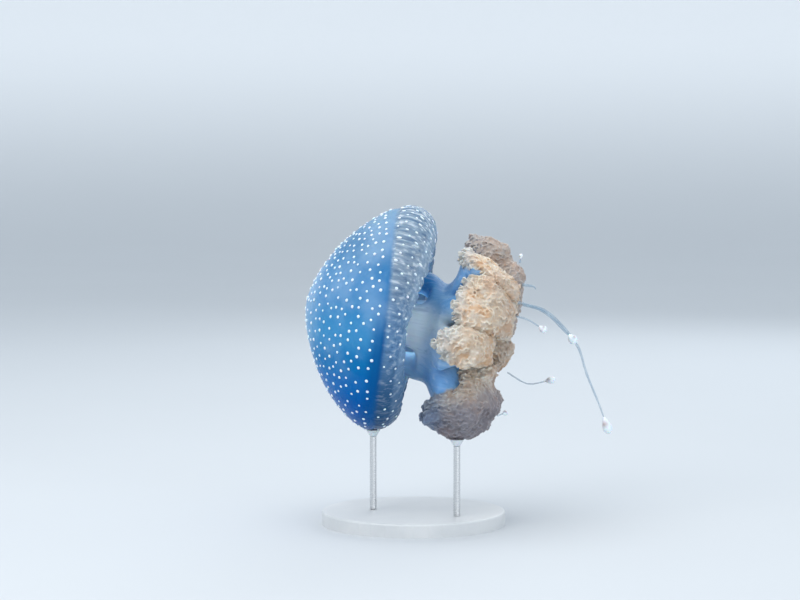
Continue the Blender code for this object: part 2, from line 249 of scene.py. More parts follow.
def smoothed(bm, passes, verts=None):
    for _ in range(passes):
        bmesh.ops.smooth_vert(
            bm, verts=bm.verts[:] if verts is None else verts, factor=0.5,
            use_axis_x=True, use_axis_y=True, use_axis_z=True,
        )


def remeshed(bm, voxel, passes):
    made = withModifier(objectFrom(bm, "remeshed"), "REMESH", mode="VOXEL", voxel_size=voxel)
    bm = bmesh.new()
    bm.from_mesh(made.data)
    bpy.data.objects.remove(made)
    smoothed(bm, passes)
    bm.normal_update()
    return bm


def addTo(bm, other):
    # joins another bmesh or object to this bmesh and frees it
    if isinstance(other, bpy.types.Object):
        bm.from_mesh(other.data)
        bpy.data.objects.remove(other)
        return
    holder = bpy.data.meshes.new("holder")
    other.to_mesh(holder)
    other.free()
    bm.from_mesh(holder)
    bpy.data.meshes.remove(holder)


def dropBits(bm, least=1000):
    # leaves only the pieces that have at least so many corners
    left, bits = set(bm.verts), []
    while left:
        start = left.pop()
        piece, ahead = [start], [start]
        while ahead:
            vert = ahead.pop()
            for link in vert.link_edges:
                other = link.other_vert(vert)
                if other in left:
                    left.discard(other)
                    piece.append(other)
                    ahead.append(other)
        if len(piece) < least:
            bits += piece
    bmesh.ops.delete(bm, geom=bits, context="VERTS")


def spunInto(bm, line, steps, near):
    # a line of (radius, level) points turned once round the axis
    verts = [bm.verts.new((radius, 0.0, level)) for radius, level in line]
    edges = [bm.edges.new(pair) for pair in zip(verts, verts[1:])]
    bmesh.ops.spin(
        bm, geom=verts + edges, cent=(0, 0, 0), axis=(0, 0, 1), angle=fullTurn, steps=steps,
        use_merge=True,
    )
    bmesh.ops.remove_doubles(bm, verts=bm.verts[:], dist=near)
    bmesh.ops.recalc_face_normals(bm, faces=bm.faces[:])


def loftInto(bm, rings):
    ring = [bm.verts.new(point) for point in rings[0]]
    bm.faces.new(ring)
    for points in rings[1:]:
        edges = [bm.edges.get(pair) for pair in zip(ring, ring[1:] + ring[:1])]
        made = bmesh.ops.extrude_edge_only(bm, edges=edges)["geom"]
        made = {vert for vert in made if isinstance(vert, bmesh.types.BMVert)}
        ring = [
            next(e.other_vert(v) for e in v.link_edges if e.other_vert(v) in made) for v in ring
        ]
        for vert, point in zip(ring, points):
            vert.co = point
    bm.faces.new(ring)


def pointsOf(mesh):
    points = np.zeros(len(mesh.vertices) * 3, np.float32)
    mesh.vertices.foreach_get("co", points)
    return points.reshape(-1, 3)


def treeOf(mesh):
    corners = [face.vertices[:] for face in mesh.polygons]
    return BVHTree.FromPolygons([vert.co for vert in mesh.vertices], corners)


def addValues(mesh, name, values):
    layer = mesh.attributes.new(name, "FLOAT", "POINT")
    layer.data.foreach_set("value", np.asarray(values, np.float32))


def addColours(mesh, name, colours):
    layer = mesh.color_attributes.new(name, "FLOAT_COLOR", "POINT")
    layer.data.foreach_set("color", colours.ravel())


def cellOf(point, size):
    return tuple(int(math.floor(value / size)) for value in point)


def crowded(cells, point, size, room):
    # whether a point kept in these cells, each of this size, is nearer than the room
    key = cellOf(point, size)
    return any(
        (other - point).length < room
        for i in (-1, 0, 1) for j in (-1, 0, 1) for k in (-1, 0, 1)
        for other in cells.get((key[0] + i, key[1] + j, key[2] + k), ())
    )


def around(radius, turn, level):
    return Vector((radius * math.cos(turn), radius * math.sin(turn), level))


def signedPower(value, power):
    return math.copysign(abs(value) ** power, value)


def unit(value):
    return min(max(value, 0.0), 1.0)


def hump(value, middle, reach):
    away = (value - middle) / reach
    return math.exp(-away * away)


# Bell: a grid wrapped round the axis, outside, over the rim and back inside
bell = {
    "radius": 74.5 * mm,
    "widestLevel": 9.8 * mm,
    "domeHeight": 56.6 * mm,
    "domePower": 1.57,
    "rimRadius": 58.0 * mm,
    "rimLevel": -6.5 * mm,
    "apexThickness": 20.0 * mm,
    "thinning": 1.3,
    "grooveThickness": 4.2 * mm,
    "rimThickness": 1.8 * mm,
    "grooveAt": 1.09,             # along the section: 0 apex, 1 widest ring, 2 rim
    "grooveLevel": 5.5 * mm,      # the groove's level on the near side, and how it leans
    "grooveLean": 7.2 * mm,
    "grooveBow": 6.2 * mm,
    "grooveDepth": 0.9 * mm,
    "grooveAbove": 2.2 * mm,      # how wide it is above and below its middle
    "grooveBelow": 1.0 * mm,
    "rimDroop": 5.5 * mm,         # the near rim hangs lower at its upper and lower parts
    "columns": 384,
    "outerRows": ((0, 0.92, 31), (0.92, 1.2, 12), (1.2, 2.0, 13)),   # from, to, how many
    "rimShares": (0.2, 0.5, 0.8),
    "innerRows": ((2.0, 1.2, 9), (1.2, 0.0, 22)),
    "octants": 8,
    "lappetsPerOctant": 4,
    "lappetCut": 0.07,
    "lappetRound": 0.7,
    "notchCut": 0.07,
    "notchDegrees": 2.5,
    "furrowDepth": 0.65 * mm,
    "streakDepth": 0.45 * mm,
    "streakScales": (22.0, 47.0),
    "streakFade": 5 * mm,
    "muscleDepth": 0.30 * mm,
    "muscleRate": 34,
    "unevenness": 0.45 * mm,
    "unevenScale": 28.0,
    "crumple": 0.9,               # how much more the upper side is drawn in
}


def outerSection(along):
    along = np.asarray(along, float)
    rise = np.clip(along, 0, 1) * math.pi / 2
    curl = np.clip(along - 1, 0, 1) * math.pi / 2
    power = 2 / bell["domePower"]
    domeRadius = bell["radius"] * np.sin(rise) ** power
    domeLevel = bell["widestLevel"] + bell["domeHeight"] * np.maximum(np.cos(rise), 0) ** power
    tuck, drop = bell["radius"] - bell["rimRadius"], bell["widestLevel"] - bell["rimLevel"]
    rimRadius = bell["rimRadius"] + tuck * np.cos(curl)
    rimLevel = bell["widestLevel"] - drop * np.sin(curl)
    onDome = along <= 1
    return np.where(onDome, domeRadius, rimRadius), np.where(onDome, domeLevel, rimLevel)


def sectionWays(along, step=0.002):
    # unit directions (radius, level) along the section and outwards from it
    ahead = outerSection(np.minimum(np.asarray(along) + step, 2.0))
    behind = outerSection(np.maximum(np.asarray(along) - step, 0.0))
    run, rise = ahead[0] - behind[0], ahead[1] - behind[1]
    length = np.hypot(run, rise)
    return (run / length, rise / length), (-rise / length, run / length)


def bellThickness(along):
    reach = np.clip(along / bell["grooveAt"], 0, 1)
    dome = bell["grooveThickness"] + (bell["apexThickness"] - bell["grooveThickness"]) * (
        np.maximum(np.cos(reach * math.pi / 2), 0) ** bell["thinning"]
    )
    share = (along - bell["grooveAt"]) / (2 - bell["grooveAt"])
    margin = bell["grooveThickness"] + (bell["rimThickness"] - bell["grooveThickness"]) * share
    return np.where(along < bell["grooveAt"], dome, margin)


def grooveLevel(turn):
    # the groove rides higher up the bell on the animal's upper side
    upper = np.cos(turn)
    return bell["grooveLevel"] + bell["grooveLean"] * upper + bell["grooveBow"] * upper ** 2


def lappetRise(turn):
    return np.abs(np.sin(turn * bell["octants"] * bell["lappetsPerOctant"] / 2))


def fromNotch(turn):
    # distance to the nearest octant border, reaching 1 at notchDegrees
    octant = 360 / bell["octants"]
    away = (np.degrees(turn) + octant / 2) % octant
    return np.clip(np.minimum(away, octant - away) / bell["notchDegrees"], 0, 1)


def noiseField(points, scale, shift=0.0):
    flat = points.reshape(-1, 3) * scale + shift
    values = np.array([noise.noise(Vector(point)) for point in flat])
    return values.reshape(points.shape[:-1])


def bellPoints(along, share, turn):
    # share is 0 outside, 1 inside and between them round the rim
    end = 2 - bell["lappetCut"] * (1 - lappetRise(turn) ** bell["lappetRound"])
    end = end - bell["notchCut"] * (1 - fromNotch(turn))
    past = np.maximum(along - bell["grooveAt"], 0)
    along = np.minimum(along, bell["grooveAt"]) + past * (
        (end - bell["grooveAt"]) / (2 - bell["grooveAt"])
    )
    radius, level = outerSection(along)
    (aheadR, aheadZ), (outR, outZ) = sectionWays(along)
    thick = bellThickness(along)
    bulge = 0.5 * thick * np.sin(np.pi * share)
    radius = radius - outR * thick * share + aheadR * bulge
    level = level - outZ * thick * share + aheadZ * bulge
    points = np.stack((radius * np.cos(turn), radius * np.sin(turn), level), -1)

    margin = np.clip(past / (2 - bell["grooveAt"]), 0, 1)
    near = np.clip(0.25 - np.sin(turn), 0, 1) * np.abs(np.cos(turn))
    points[..., 2] -= bell["rimDroop"] * np.clip(near * 1.3, 0, 1) * margin
    swell = noiseField(points, bell["unevenScale"]) * bell["unevenness"]
    swell = swell * np.clip(along * 3, 0, 1)
    above = level - grooveLevel(turn)
    grooveWidth = np.where(above > 0, bell["grooveAbove"], bell["grooveBelow"])
    grooved = -bell["grooveDepth"] * np.exp(-((above / grooveWidth) ** 2))
    crumple = 1 + bell["crumple"] * np.clip(np.cos(turn), 0, 1)
    furrow = -bell["furrowDepth"] * (1 - lappetRise(turn)) ** 3 * margin * crumple
    ringPlace = np.stack((np.cos(turn), np.sin(turn), margin * 0.06), -1)
    broad, fine = bell["streakScales"]
    streaks = noiseField(ringPlace, broad) + 0.6 * noiseField(ringPlace, fine, 5.0)
    streaks = streaks * bell["streakDepth"] * np.clip(-above / bell["streakFade"], 0, 1) * crumple
    outside = swell + grooved + furrow + streaks
    rings = np.sin(along * bell["muscleRate"]) * bell["muscleDepth"] * np.clip(along * 2 - 1, 0, 1)
    inside = -rings * (1 - margin * 0.5) + 0.7 * streaks - furrow * 0.4
    push = np.where(share <= 0.5, outside * (1 - share), -inside * share * 0.6)
    points[..., 0] += outR * push * np.cos(turn)
    points[..., 1] += outR * push * np.sin(turn)
    points[..., 2] += outZ * push
    return points


def rowsFrom(spans):
    # evenly spaced, each span starting where the one before it ends
    rows = [np.linspace(*span)[:-1] for span in spans[:-1]] + [np.linspace(*spans[-1])]
    return [along for row in rows for along in row]


def buildBell():
    rows = [(along, 0.0) for along in rowsFrom(bell["outerRows"])]
    rows += [(2.0, share) for share in bell["rimShares"]]
    rows += [(along, 1.0) for along in rowsFrom(bell["innerRows"])]
    columns = bell["columns"]
    turns = np.arange(columns + 1) / columns * fullTurn
    turns[-1] = 0.0
    along = np.array([row[0] for row in rows])[:, None] + 0 * turns[None]
    share = np.array([row[1] for row in rows])[:, None] + 0 * turns[None]
    points = bellPoints(along, share, turns[None] + 0 * along)
    for pole in (0, -1):
        points[pole, :, :2] = 0.0
        points[pole, :, 2] = points[pole, 0, 2]
    bm = bmesh.new()
    bmesh.ops.create_grid(bm, x_segments=columns, y_segments=len(rows) - 1, size=1.0)
    for vert in bm.verts:
        column = round((vert.co.x + 1) / 2 * columns)
        row = round((vert.co.y + 1) / 2 * (len(rows) - 1))
        vert.co = points[row, column]
    bmesh.ops.remove_doubles(bm, verts=bm.verts[:], dist=1e-7)
    bmesh.ops.recalc_face_normals(bm, faces=bm.faces[:])
    return bm


# Column and oral arms: four pillars under the roof, the arm disc, eight arms
column = {
    "pillars": 4,
    "pillarSides": 28,
    # inner and outer distance from the axis, half width, level
    "pillarRings": (
        (19.0, 35.2, 16.5, -15.0), (19.2, 35.0, 15.6, -11.5), (19.6, 34.8, 14.4, -7.0),
        (20.0, 35.4, 13.1, 2.0), (19.9, 36.4, 12.6, 11.0), (19.5, 37.6, 12.8, 19.0),
        (18.4, 40.0, 14.2, 28.0),
    ),
    "rootRings": ((15.5, 44.4, 18.0, -1.0), (14.5, 45.5, 19.0, 2.0)),   # level from the roof
    "pillarSquare": 0.8,         # 1 is round, less is squarer
    "discProfile": (
        (0.0, -15.6), (15.0, -15.2), (19.5, -12.6), (34.6, -12.6), (34.5, -17.0),
        (36.4, -21.0), (39.8, -24.6), (39.0, -27.0), (0.0, -27.0),
    ),
    "discSegments": 96,
    "arms": 8,
    "armSides": 24,
    "armDegrees": (20, 65, 110, 158, 206, 262, 297, 338),
    "armLift": (0.0, -1.0, -2.0, -1.0, 0.0, 4.0, 0.5, 1.0),
    "armReach": (1.0, -2.0, -3.0, 1.0, 2.0, -2.0, -4.5, 0.5),
    # inner and outer distance from the axis, half width as a share, level, slant, and how
    # much of the arm's own reach and lift is added
    "armRings": (
        (9.0, 39.5, 1.02, -23.0, 0.0, 0, 0), (15.0, 45.0, 1.00, -28.5, 1.5, 1 / 3, 0),
        (24.0, 50.0, 0.88, -34.5, 3.5, 1, 1 / 2), (30.0, 51.5, 0.66, -41.0, 4.0, 1, 1),
        (34.5, 50.0, 0.45, -49.0, 3.0, 1, 1),
    ),
    "armSquare": (0.85, 0.75),   # outwards and sideways
    "voxel": 1.0 * mm,
    "smoothing": 7,
    "bareFrom": -40 * mm,        # what has no frill above this level is shaped further
    "windowsFrom": -24 * mm,
    "windowPasses": 46,          # extra smoothing that rounds the windows between the pillars
    "waistDepth": 8.5 * mm,      # how far the upper arms are drawn in at their roots, and where
    "waistLevel": -24.0 * mm,
    "waistReach": 8.0 * mm,
    "waistPasses": 14,
    "hipDepth": 1.5 * mm,        # the lower side stands out instead
    "hipLevel": -14.0 * mm,
    "triangles": 124000,
    "filletFrom": -4 * mm,
    "filletReach": 2.6 * mm,     # how near the roof the column's roots are smoothed into it
    "filletPasses": 14,
}


def roofLevel(radius):
    reach = np.linspace(0.02, bell["grooveAt"], 200)
    _, (outR, outZ) = sectionWays(reach)
    sectionRadius, sectionLevel = outerSection(reach)
    thick = bellThickness(reach)
    return float(np.interp(radius, sectionRadius - outR * thick, sectionLevel - outZ * thick))


def pillarRing(turn, inner, outer, half, level, fromRoof):
    middle, depth = (outer + inner) / 2 * mm, (outer - inner) / 2 * mm
    points = []
    for side in range(column["pillarSides"]):
        lean = fullTurn * side / column["pillarSides"]
        radius = middle + depth * signedPower(math.cos(lean), column["pillarSquare"])
        swing = half * mm * signedPower(math.sin(lean), column["pillarSquare"]) / middle
        height = level * mm + (roofLevel(radius) if fromRoof else 0.0)
        points.append(around(radius, turn + swing, height))
    return points


def armBorders(number):
    degrees = column["armDegrees"]
    last = column["arms"] - 1
    here = degrees[number]
    before = degrees[number - 1] - (360 if number == 0 else 0)
    after = degrees[(number + 1) % column["arms"]] + (360 if number == last else 0)
    return math.radians((before + here) / 2), math.radians((here + after) / 2)


def armRings(number):
    turn = math.radians(column["armDegrees"][number])
    lift, reach = column["armLift"][number], column["armReach"][number]
    low, high = armBorders(number)
    outPower, sidePower = column["armSquare"]
    rings = []
    for inner, outer, wide, level, slant, reachShare, liftShare in column["armRings"]:
        outer, level = outer + reach * reachShare, level + lift * liftShare
        middle, depth = (outer + inner) / 2, (outer - inner) / 2
        points = []
        for side in range(column["armSides"]):
            lean = fullTurn * side / column["armSides"]
            radius = middle + depth * signedPower(math.cos(lean), outPower)
            room = high - turn if math.sin(lean) > 0 else turn - low
            sideways = wide * radius * math.tan(room) * signedPower(math.sin(lean), sidePower)
            point = Vector((radius, sideways, level + slant * math.cos(lean))) * mm
            points.append(Matrix.Rotation(turn, 3, "Z") @ point)
        rings.append(points)
    return rings


def cadCopy(names, grow):
    bm = bmesh.new()
    for name in names:
        part = bmesh.new()
        part.from_mesh(cadNodes[name].data)
        bmesh.ops.remove_doubles(part, verts=part.verts[:], dist=1e-6)
        part.normal_update()
        for vert in part.verts:
            vert.co += vert.normal * grow
        addTo(bm, part)
    bmesh.ops.transform(bm, matrix=toAnimal, verts=bm.verts[:])
    return bm


# Bundles: the shaped solids, trimmed back to leave the arms bare, under folded frills
bundles = {
    # one value for each arm: the level above which its frill is drawn back to leave it bare
    "start": (-29.0, -29.0, -29.0, -25.0, -25.0, -25.0, -35.0, -30.0),
    "startKeep": 0.22,            # share of what lies past the start
    "wider": (1.10, 1.08, 1.08, 1.10, 1.10, 1.04, 1.16, 1.18),   # sideways, into its neighbours
    "lowSide": (0.0, 0.0, 0.0, 0.0, 0.0, 4.5, 0.0, 0.0),         # drawn in on its lower side
    # the two upper bundles slope down to their free ends: a level on the upper side, the
    # place along the axis it is taken at, and the slope
    "slopes": {
        0: ((63.2 * mm, -46.4 * mm, 0.32), (60.0 * mm, -56.4 * mm, 1.15)),
        7: ((55.3 * mm, -28.4 * mm, 0.516),),
    },
    "slopeKeep": 0.25,
    "riseShare": (1.0, 1.0, 0.9, 0.9, 0.85, 0.9, 1.0, 1.0),
    # the two lower bundles are full and round below
    "bellied": (3, 4),
    "bellyMiddle": (-49.4 * mm, -47.0 * mm),
    "bellyHalf": (20.5 * mm, 25.0 * mm),
    "bellyWider": 1.9,
    "bellyFrom": 0.3,
    # the bare place on the near upper arm: its middle, half size and how far the frill is back
    "hollowed": 7,
    "hollow": (36.0 * mm, -36.5 * mm),
    "hollowHalf": (8.5 * mm, 8.0 * mm),
    "hollowDepth": 18.0 * mm,
    "hollowNear": 6 * mm,         # only what is nearer than this past the bundle's middle
    # the gap between the lower bundles and the rest, at the free end
    "gapAt": -27.0 * mm,
    "gapHalf": 5.5 * mm,
    "gapDepth": 11.0 * mm,
    "gapFrom": -46 * mm,
    "gapFade": 10 * mm,
    "skinSink": 3.6 * mm,         # the skin lies this far under the shaped solids
    "coreSink": 0.9 * mm,
    "coreVoxel": 1.3 * mm,
    "corePasses": 5,
    "broadFold": 1.3 * mm,
    "lump": 0.9 * mm,
    "ridge": 0.5 * mm,
    "voxel": 0.52 * mm,
    "passes": 2,
    "grain": 0.30 * mm,
    "dusk": (1.0, 1.0, 0.10, 0.35, 0.0, 0.0, 0.0, 0.05),       # painted shade: how much browner and greyer, most on the far bundles behind the near one
}
frillNames = sorted(name for name in cadNodes if name.startswith("arm_frill"))


def trimmedBundle(number, bare=True):
    bm = cadCopy([frillNames[number]], 0.0)
    start, lowSide = bundles["start"][number] * mm, bundles["lowSide"][number] * mm
    middle = sum((vert.co for vert in bm.verts), Vector()) / len(bm.verts)
    aside = around(1.0, math.radians(column["armDegrees"][number]) + math.pi / 2, 0.0)
    for vert in bm.verts:
        if vert.co.z > start:
            vert.co.z = start + (vert.co.z - start) * bundles["startKeep"]
        vert.co += aside * (vert.co - middle).dot(aside) * (bundles["wider"][number] - 1)
        below = max(middle.x - vert.co.x, 0.0)
        vert.co.x += min(lowSide * below / (10 * mm), below)
        for crestX, fromZ, slope in bundles["slopes"].get(number, ()):
            top = crestX - slope * (fromZ - vert.co.z)
            vert.co.x = min(vert.co.x, top + max(vert.co.x - top, 0.0) * bundles["slopeKeep"])
        if number in bundles["bellied"]:
            middleX, middleZ = bundles["bellyMiddle"]
            below = max(middleX - vert.co.x, 0.0) / bundles["bellyHalf"][0]
            room = bundles["bellyHalf"][1] * math.sqrt(max(1 - below * below, 0.0))
            offset = vert.co.z - middleZ
            wide = min(abs(offset) * bundles["bellyWider"], room)
            if below > bundles["bellyFrom"]:
                offset = math.copysign(max(abs(offset), wide), offset)
            vert.co.z = middleZ + offset
        nearSide = vert.co.y < middle.y + bundles["hollowNear"]
        if number == bundles["hollowed"] and bare and nearSide:
            awayX = (vert.co.x - bundles["hollow"][0]) / bundles["hollowHalf"][0]
            awayZ = (vert.co.z - bundles["hollow"][1]) / bundles["hollowHalf"][1]
            vert.co.y += bundles["hollowDepth"] * math.exp(-awayX * awayX - awayZ * awayZ)
        gap = math.exp(-(((vert.co.x - bundles["gapAt"]) / bundles["gapHalf"]) ** 2))
        tip = unit((bundles["gapFrom"] - vert.co.z) / bundles["gapFade"])
        vert.co.z += bundles["gapDepth"] * gap * tip
    return bm


def buildColumn():
    bm = bmesh.new()
    for number in range(column["pillars"]):
        turn = fullTurn * number / column["pillars"]
        rings = [pillarRing(turn, *ring, False) for ring in column["pillarRings"]]
        rings += [pillarRing(turn, *ring, True) for ring in column["rootRings"]]
        loftInto(bm, rings)
    for number in range(column["arms"]):
        loftInto(bm, armRings(number))
    profile = [(radius * mm, level * mm) for radius, level in column["discProfile"]]
    spunInto(bm, profile, column["discSegments"], 1e-6)
    for number in range(column["arms"]):
        inner = trimmedBundle(number, bare=False)
        inner = remeshed(inner, bundles["coreVoxel"], bundles["corePasses"])
        for vert in inner.verts:
            vert.co -= vert.normal * bundles["skinSink"]
        addTo(bm, inner)
    bm = remeshed(bm, column["voxel"], column["smoothing"])
    bare = [v for v in bm.verts if v.co.z > column["bareFrom"] and frillShare(v.co) == 0]
    smoothed(bm, column["windowPasses"], [v for v in bare if v.co.z > column["windowsFrom"]])
    for vert in bare:
        drawn = hump(vert.co.z, column["waistLevel"], column["waistReach"])
        upper = unit((vert.co.x - 18 * mm) / (16 * mm))
        vert.co.x -= column["waistDepth"] * upper * drawn
        drawn = hump(vert.co.z, column["hipLevel"], column["waistReach"])
        lower = unit((-18 * mm - vert.co.x) / (12 * mm))
        vert.co.x -= column["hipDepth"] * lower * drawn
    smoothed(bm, column["waistPasses"], [v for v in bare if v.co.x > 10 * mm and v.co.z < -8 * mm])
    bm.normal_update()
    return bm


def insideOf(tree, point):
    # counts the walls on the way out: an odd number means inside
    way, walls = Vector((0.31, 0.83, 0.46)), 0
    spot = tree.ray_cast(point, way)[0]
    while spot:
        walls += 1
        spot = tree.ray_cast(spot + way * 1e-5, way)[0]
    return walls % 2 == 1


def frillShare(point, fade=1 * mm):
    # 1 under the bundles, fading to 0 on the bare arm
    share = 0.0
    for tree in frillTrees:
        away = tree.find_nearest(point, fade)[3]
        if insideOf(tree, point):
            return 1.0
        if away is not None:
            share = max(share, 1 - away / fade)
    return share


def filletRoots(mesh):
    # the column's roots flow into the roof of the bell
    bm = bmesh.new()
    bm.from_mesh(mesh)
    roots = [vert for vert in bm.verts if vert.co.z > column["filletFrom"]]
    for tree in (bellTree, columnTree):
        roots = [v for v in roots if tree.find_nearest(v.co)[3] < column["filletReach"]]
    smoothed(bm, column["filletPasses"], roots)
    bmesh.ops.dissolve_degenerate(bm, dist=1e-6, edges=bm.edges[:])
    dropBits(bm)
    bm.to_mesh(mesh)
    bm.free()


zoning = {
    "armsBelow": -9 * mm,        # below this level and this far from the bell it is an arm
    "armsOff": 5 * mm,
    "armCrest": 0.3,
    "skinCrest": 0.5,
    "insideAbove": -17 * mm,     # above this level the column has an inner side
    "insideRadius": 24 * mm,
    "insideFade": 4 * mm,
    "underFrom": 0.35,           # how deep in the bell its underside starts, as a share
    "underFade": 0.3,
}


def markZones(mesh):
    # red: frill, green: column and arms, blue: underside of the bell and inner side of the column,
    # which get painted fill light, alpha: crease to crest
    points = pointsOf(mesh)
    zones = np.zeros((len(points), 4), np.float32)
    zones[:, 3] = zoning["skinCrest"]
    turns = np.arctan2(points[:, 1], points[:, 0])
    addValues(mesh, "fromGroove", points[:, 2] - grooveLevel(turns))
    reach = np.linspace(0, 2, 400)
    edgeR, edgeZ = outerSection(reach)
    _, (outR, outZ) = sectionWays(reach)
    thick = bellThickness(reach)
    for k, point in enumerate(points):
        place = Vector(point)
        onBell = bellTree.find_nearest(place)[3]
        if place.z < zoning["armsBelow"] and onBell > zoning["armsOff"]:
            zones[k] = (frillShare(place), 1.0, 0.0, zoning["armCrest"])
            continue
        onColumn = columnTree.find_nearest(place)[3]
        bellShare = onColumn / (onBell + onColumn + 1e-9)
        zones[k, 1] = 1 - bellShare
        radius = math.hypot(place.x, place.y)
        if bellShare < 0.5 and place.z > zoning["insideAbove"]:
            zones[k, 2] = unit((zoning["insideRadius"] - radius) / zoning["insideFade"])
            continue
        nearest = int(np.argmin((edgeR - radius) ** 2 + (edgeZ - place.z) ** 2))
        deep = (edgeR[nearest] - radius) * outR[nearest]
        deep = deep + (edgeZ[nearest] - place.z) * outZ[nearest]
        zones[k, 2] = unit((deep / thick[nearest] - zoning["underFrom"]) / zoning["underFade"])
    addColours(mesh, "zones", zones)


print("bell")
bellMesh = buildBell()
bellTree = BVHTree.FromBMesh(bellMesh)
print("column, arms and bundles")
frillTrees = []
for number in range(column["arms"]):
    frillCopy = trimmedBundle(number)
    frillTrees.append(BVHTree.FromBMesh(frillCopy))
    frillCopy.free()
columnMesh = buildColumn()
keep = column["triangles"] / (2 * len(columnMesh.faces))
columnHolder = withModifier(objectFrom(columnMesh, "columnHolder"), "DECIMATE", ratio=keep)
columnTree = treeOf(columnHolder.data)

print("joining them into one skin")
skin = withModifier(
    objectFrom(bellMesh, "jellySkin"), "BOOLEAN",
    operation="UNION", object=columnHolder, solver="EXACT",
)
bpy.data.objects.remove(columnHolder)
filletRoots(skin.data)

print("marking its zones")
markZones(skin.data)
skinTree = treeOf(skin.data)
skin.data.shade_smooth()
skin.data.transform(toWorld)


# Finishes of the skin: by world height, each tone runs from the lower side to the upper side,
# painted light from above and painted shade below

gel = {
    "domeByHeight": (
        (0.0, (0.000, 0.060, 0.250)), (0.18, (0.000, 0.100, 0.380)), (0.27, (0.000, 0.130, 0.420)),
        (0.37, (0.006, 0.165, 0.420)), (0.48, (0.050, 0.250, 0.500)), (0.67, (0.040, 0.200, 0.430)),
        (0.88, (0.078, 0.200, 0.360)), (1.0, (0.140, 0.270, 0.400)),
    ),
    "bandByHeight": (
        (0.0, (0.008, 0.050, 0.140)), (0.20, (0.025, 0.090, 0.200)), (0.45, (0.115, 0.225, 0.385)),
        (0.80, (0.210, 0.280, 0.360)), (1.0, (0.160, 0.235, 0.320)),
    ),
    "armByHeight": (
        (0.0, (0.120, 0.290, 0.560)), (0.30, (0.180, 0.380, 0.670)), (0.42, (0.330, 0.500, 0.700)),
        (0.52, (0.430, 0.550, 0.650)), (0.61, (0.140, 0.320, 0.560)), (0.72, (0.175, 0.350, 0.600)),
        (1.0, (0.160, 0.320, 0.560)),
    ),
    # the pillars' middle is painted pale, painted light against the shade of the bell and frills
    "pillarByHeight": (
        (0.0, (0.160, 0.400, 0.740)), (0.30, (0.300, 0.540, 0.800)), (0.40, (0.720, 0.860, 0.950)),
        (0.57, (0.740, 0.870, 0.950)), (0.63, (0.110, 0.330, 0.610)), (0.70, (0.045, 0.240, 0.540)),
        (1.0, (0.120, 0.340, 0.600)),
    ),
    "grooveShadow": ((0.0, 0.4), (0.12, 1.0), (0.35, 0.75), (1.0, 0.0)),     # from its lower edge
    # groove: the tone of the painted shadow along the groove
    "groove": (0.003, 0.088, 0.280),
    "milk": (0.420, 0.570, 0.740),
    "bandLight": (0.62, 0.69, 0.75),
    "bandDark": (0.050, 0.110, 0.220),
    "rim": (0.34, 0.48, 0.63),
    # lining tones under the bell, painted lighter as painted fill light in the bell's shade, palest
    # near the rim
    "under": (0.290, 0.540, 0.810),
    "underLight": (0.62, 0.74, 0.86),
    "underDark": (0.080, 0.230, 0.480),
    "underBand": (0.84, 0.91, 0.95),
    "strandLight": (0.56, 0.66, 0.76),
    "strandDark": (0.060, 0.190, 0.400),
    "columnInside": (0.560, 0.790, 0.960),
    "lowest": 0.055,
    "highest": 0.207,
    "settings": {
        "Subsurface Weight": 0.45, "Subsurface Radius": (0.35, 0.65, 1.0),
        "Subsurface Scale": 5.0 * mm, "Coat Weight": 0.02, "Coat Roughness": 0.25, "IOR": 1.2,
        "Specular IOR Level": 0.12, "Specular Tint": (0.45, 0.75, 1.0), "Sheen Weight": 0.04,
        "Sheen Roughness": 0.28, "Sheen Tint": (0.60, 0.84, 1.0),
    },
}
frillLook = {
    "cream": (0.560, 0.460, 0.355),
    # crest is the pale tone of patches and the painted highlight along the crests; crease is the
    # painted shade in the creases
    "crest": (0.700, 0.650, 0.565),
    "rust": (0.560, 0.340, 0.180),
    "crease": (0.500, 0.360, 0.260),
    "lowCrease": (0.14, 0.13, 0.17),
    "dusk": (0.250, 0.225, 0.235),
    "cool": (0.500, 0.545, 0.560),        # towards the root of each arm
    "lowCool": (0.125, 0.205, 0.340),
    "tip": (0.210, 0.180, 0.185),
    "streak": (0.460, 0.270, 0.160),      # the brown streak on the near upper bundle
    "streakAt": (38.8 * mm, -53.0 * mm),
    "mauve": (0.150, 0.148, 0.190),
    "mauveCrest": (0.270, 0.310, 0.380),
    "settings": {
        "Subsurface Weight": 0.6, "Subsurface Radius": (1.0, 0.75, 0.55),
        "Subsurface Scale": 3.0 * mm, "Sheen Weight": 0.15, "Sheen Roughness": 0.5,
    },
}


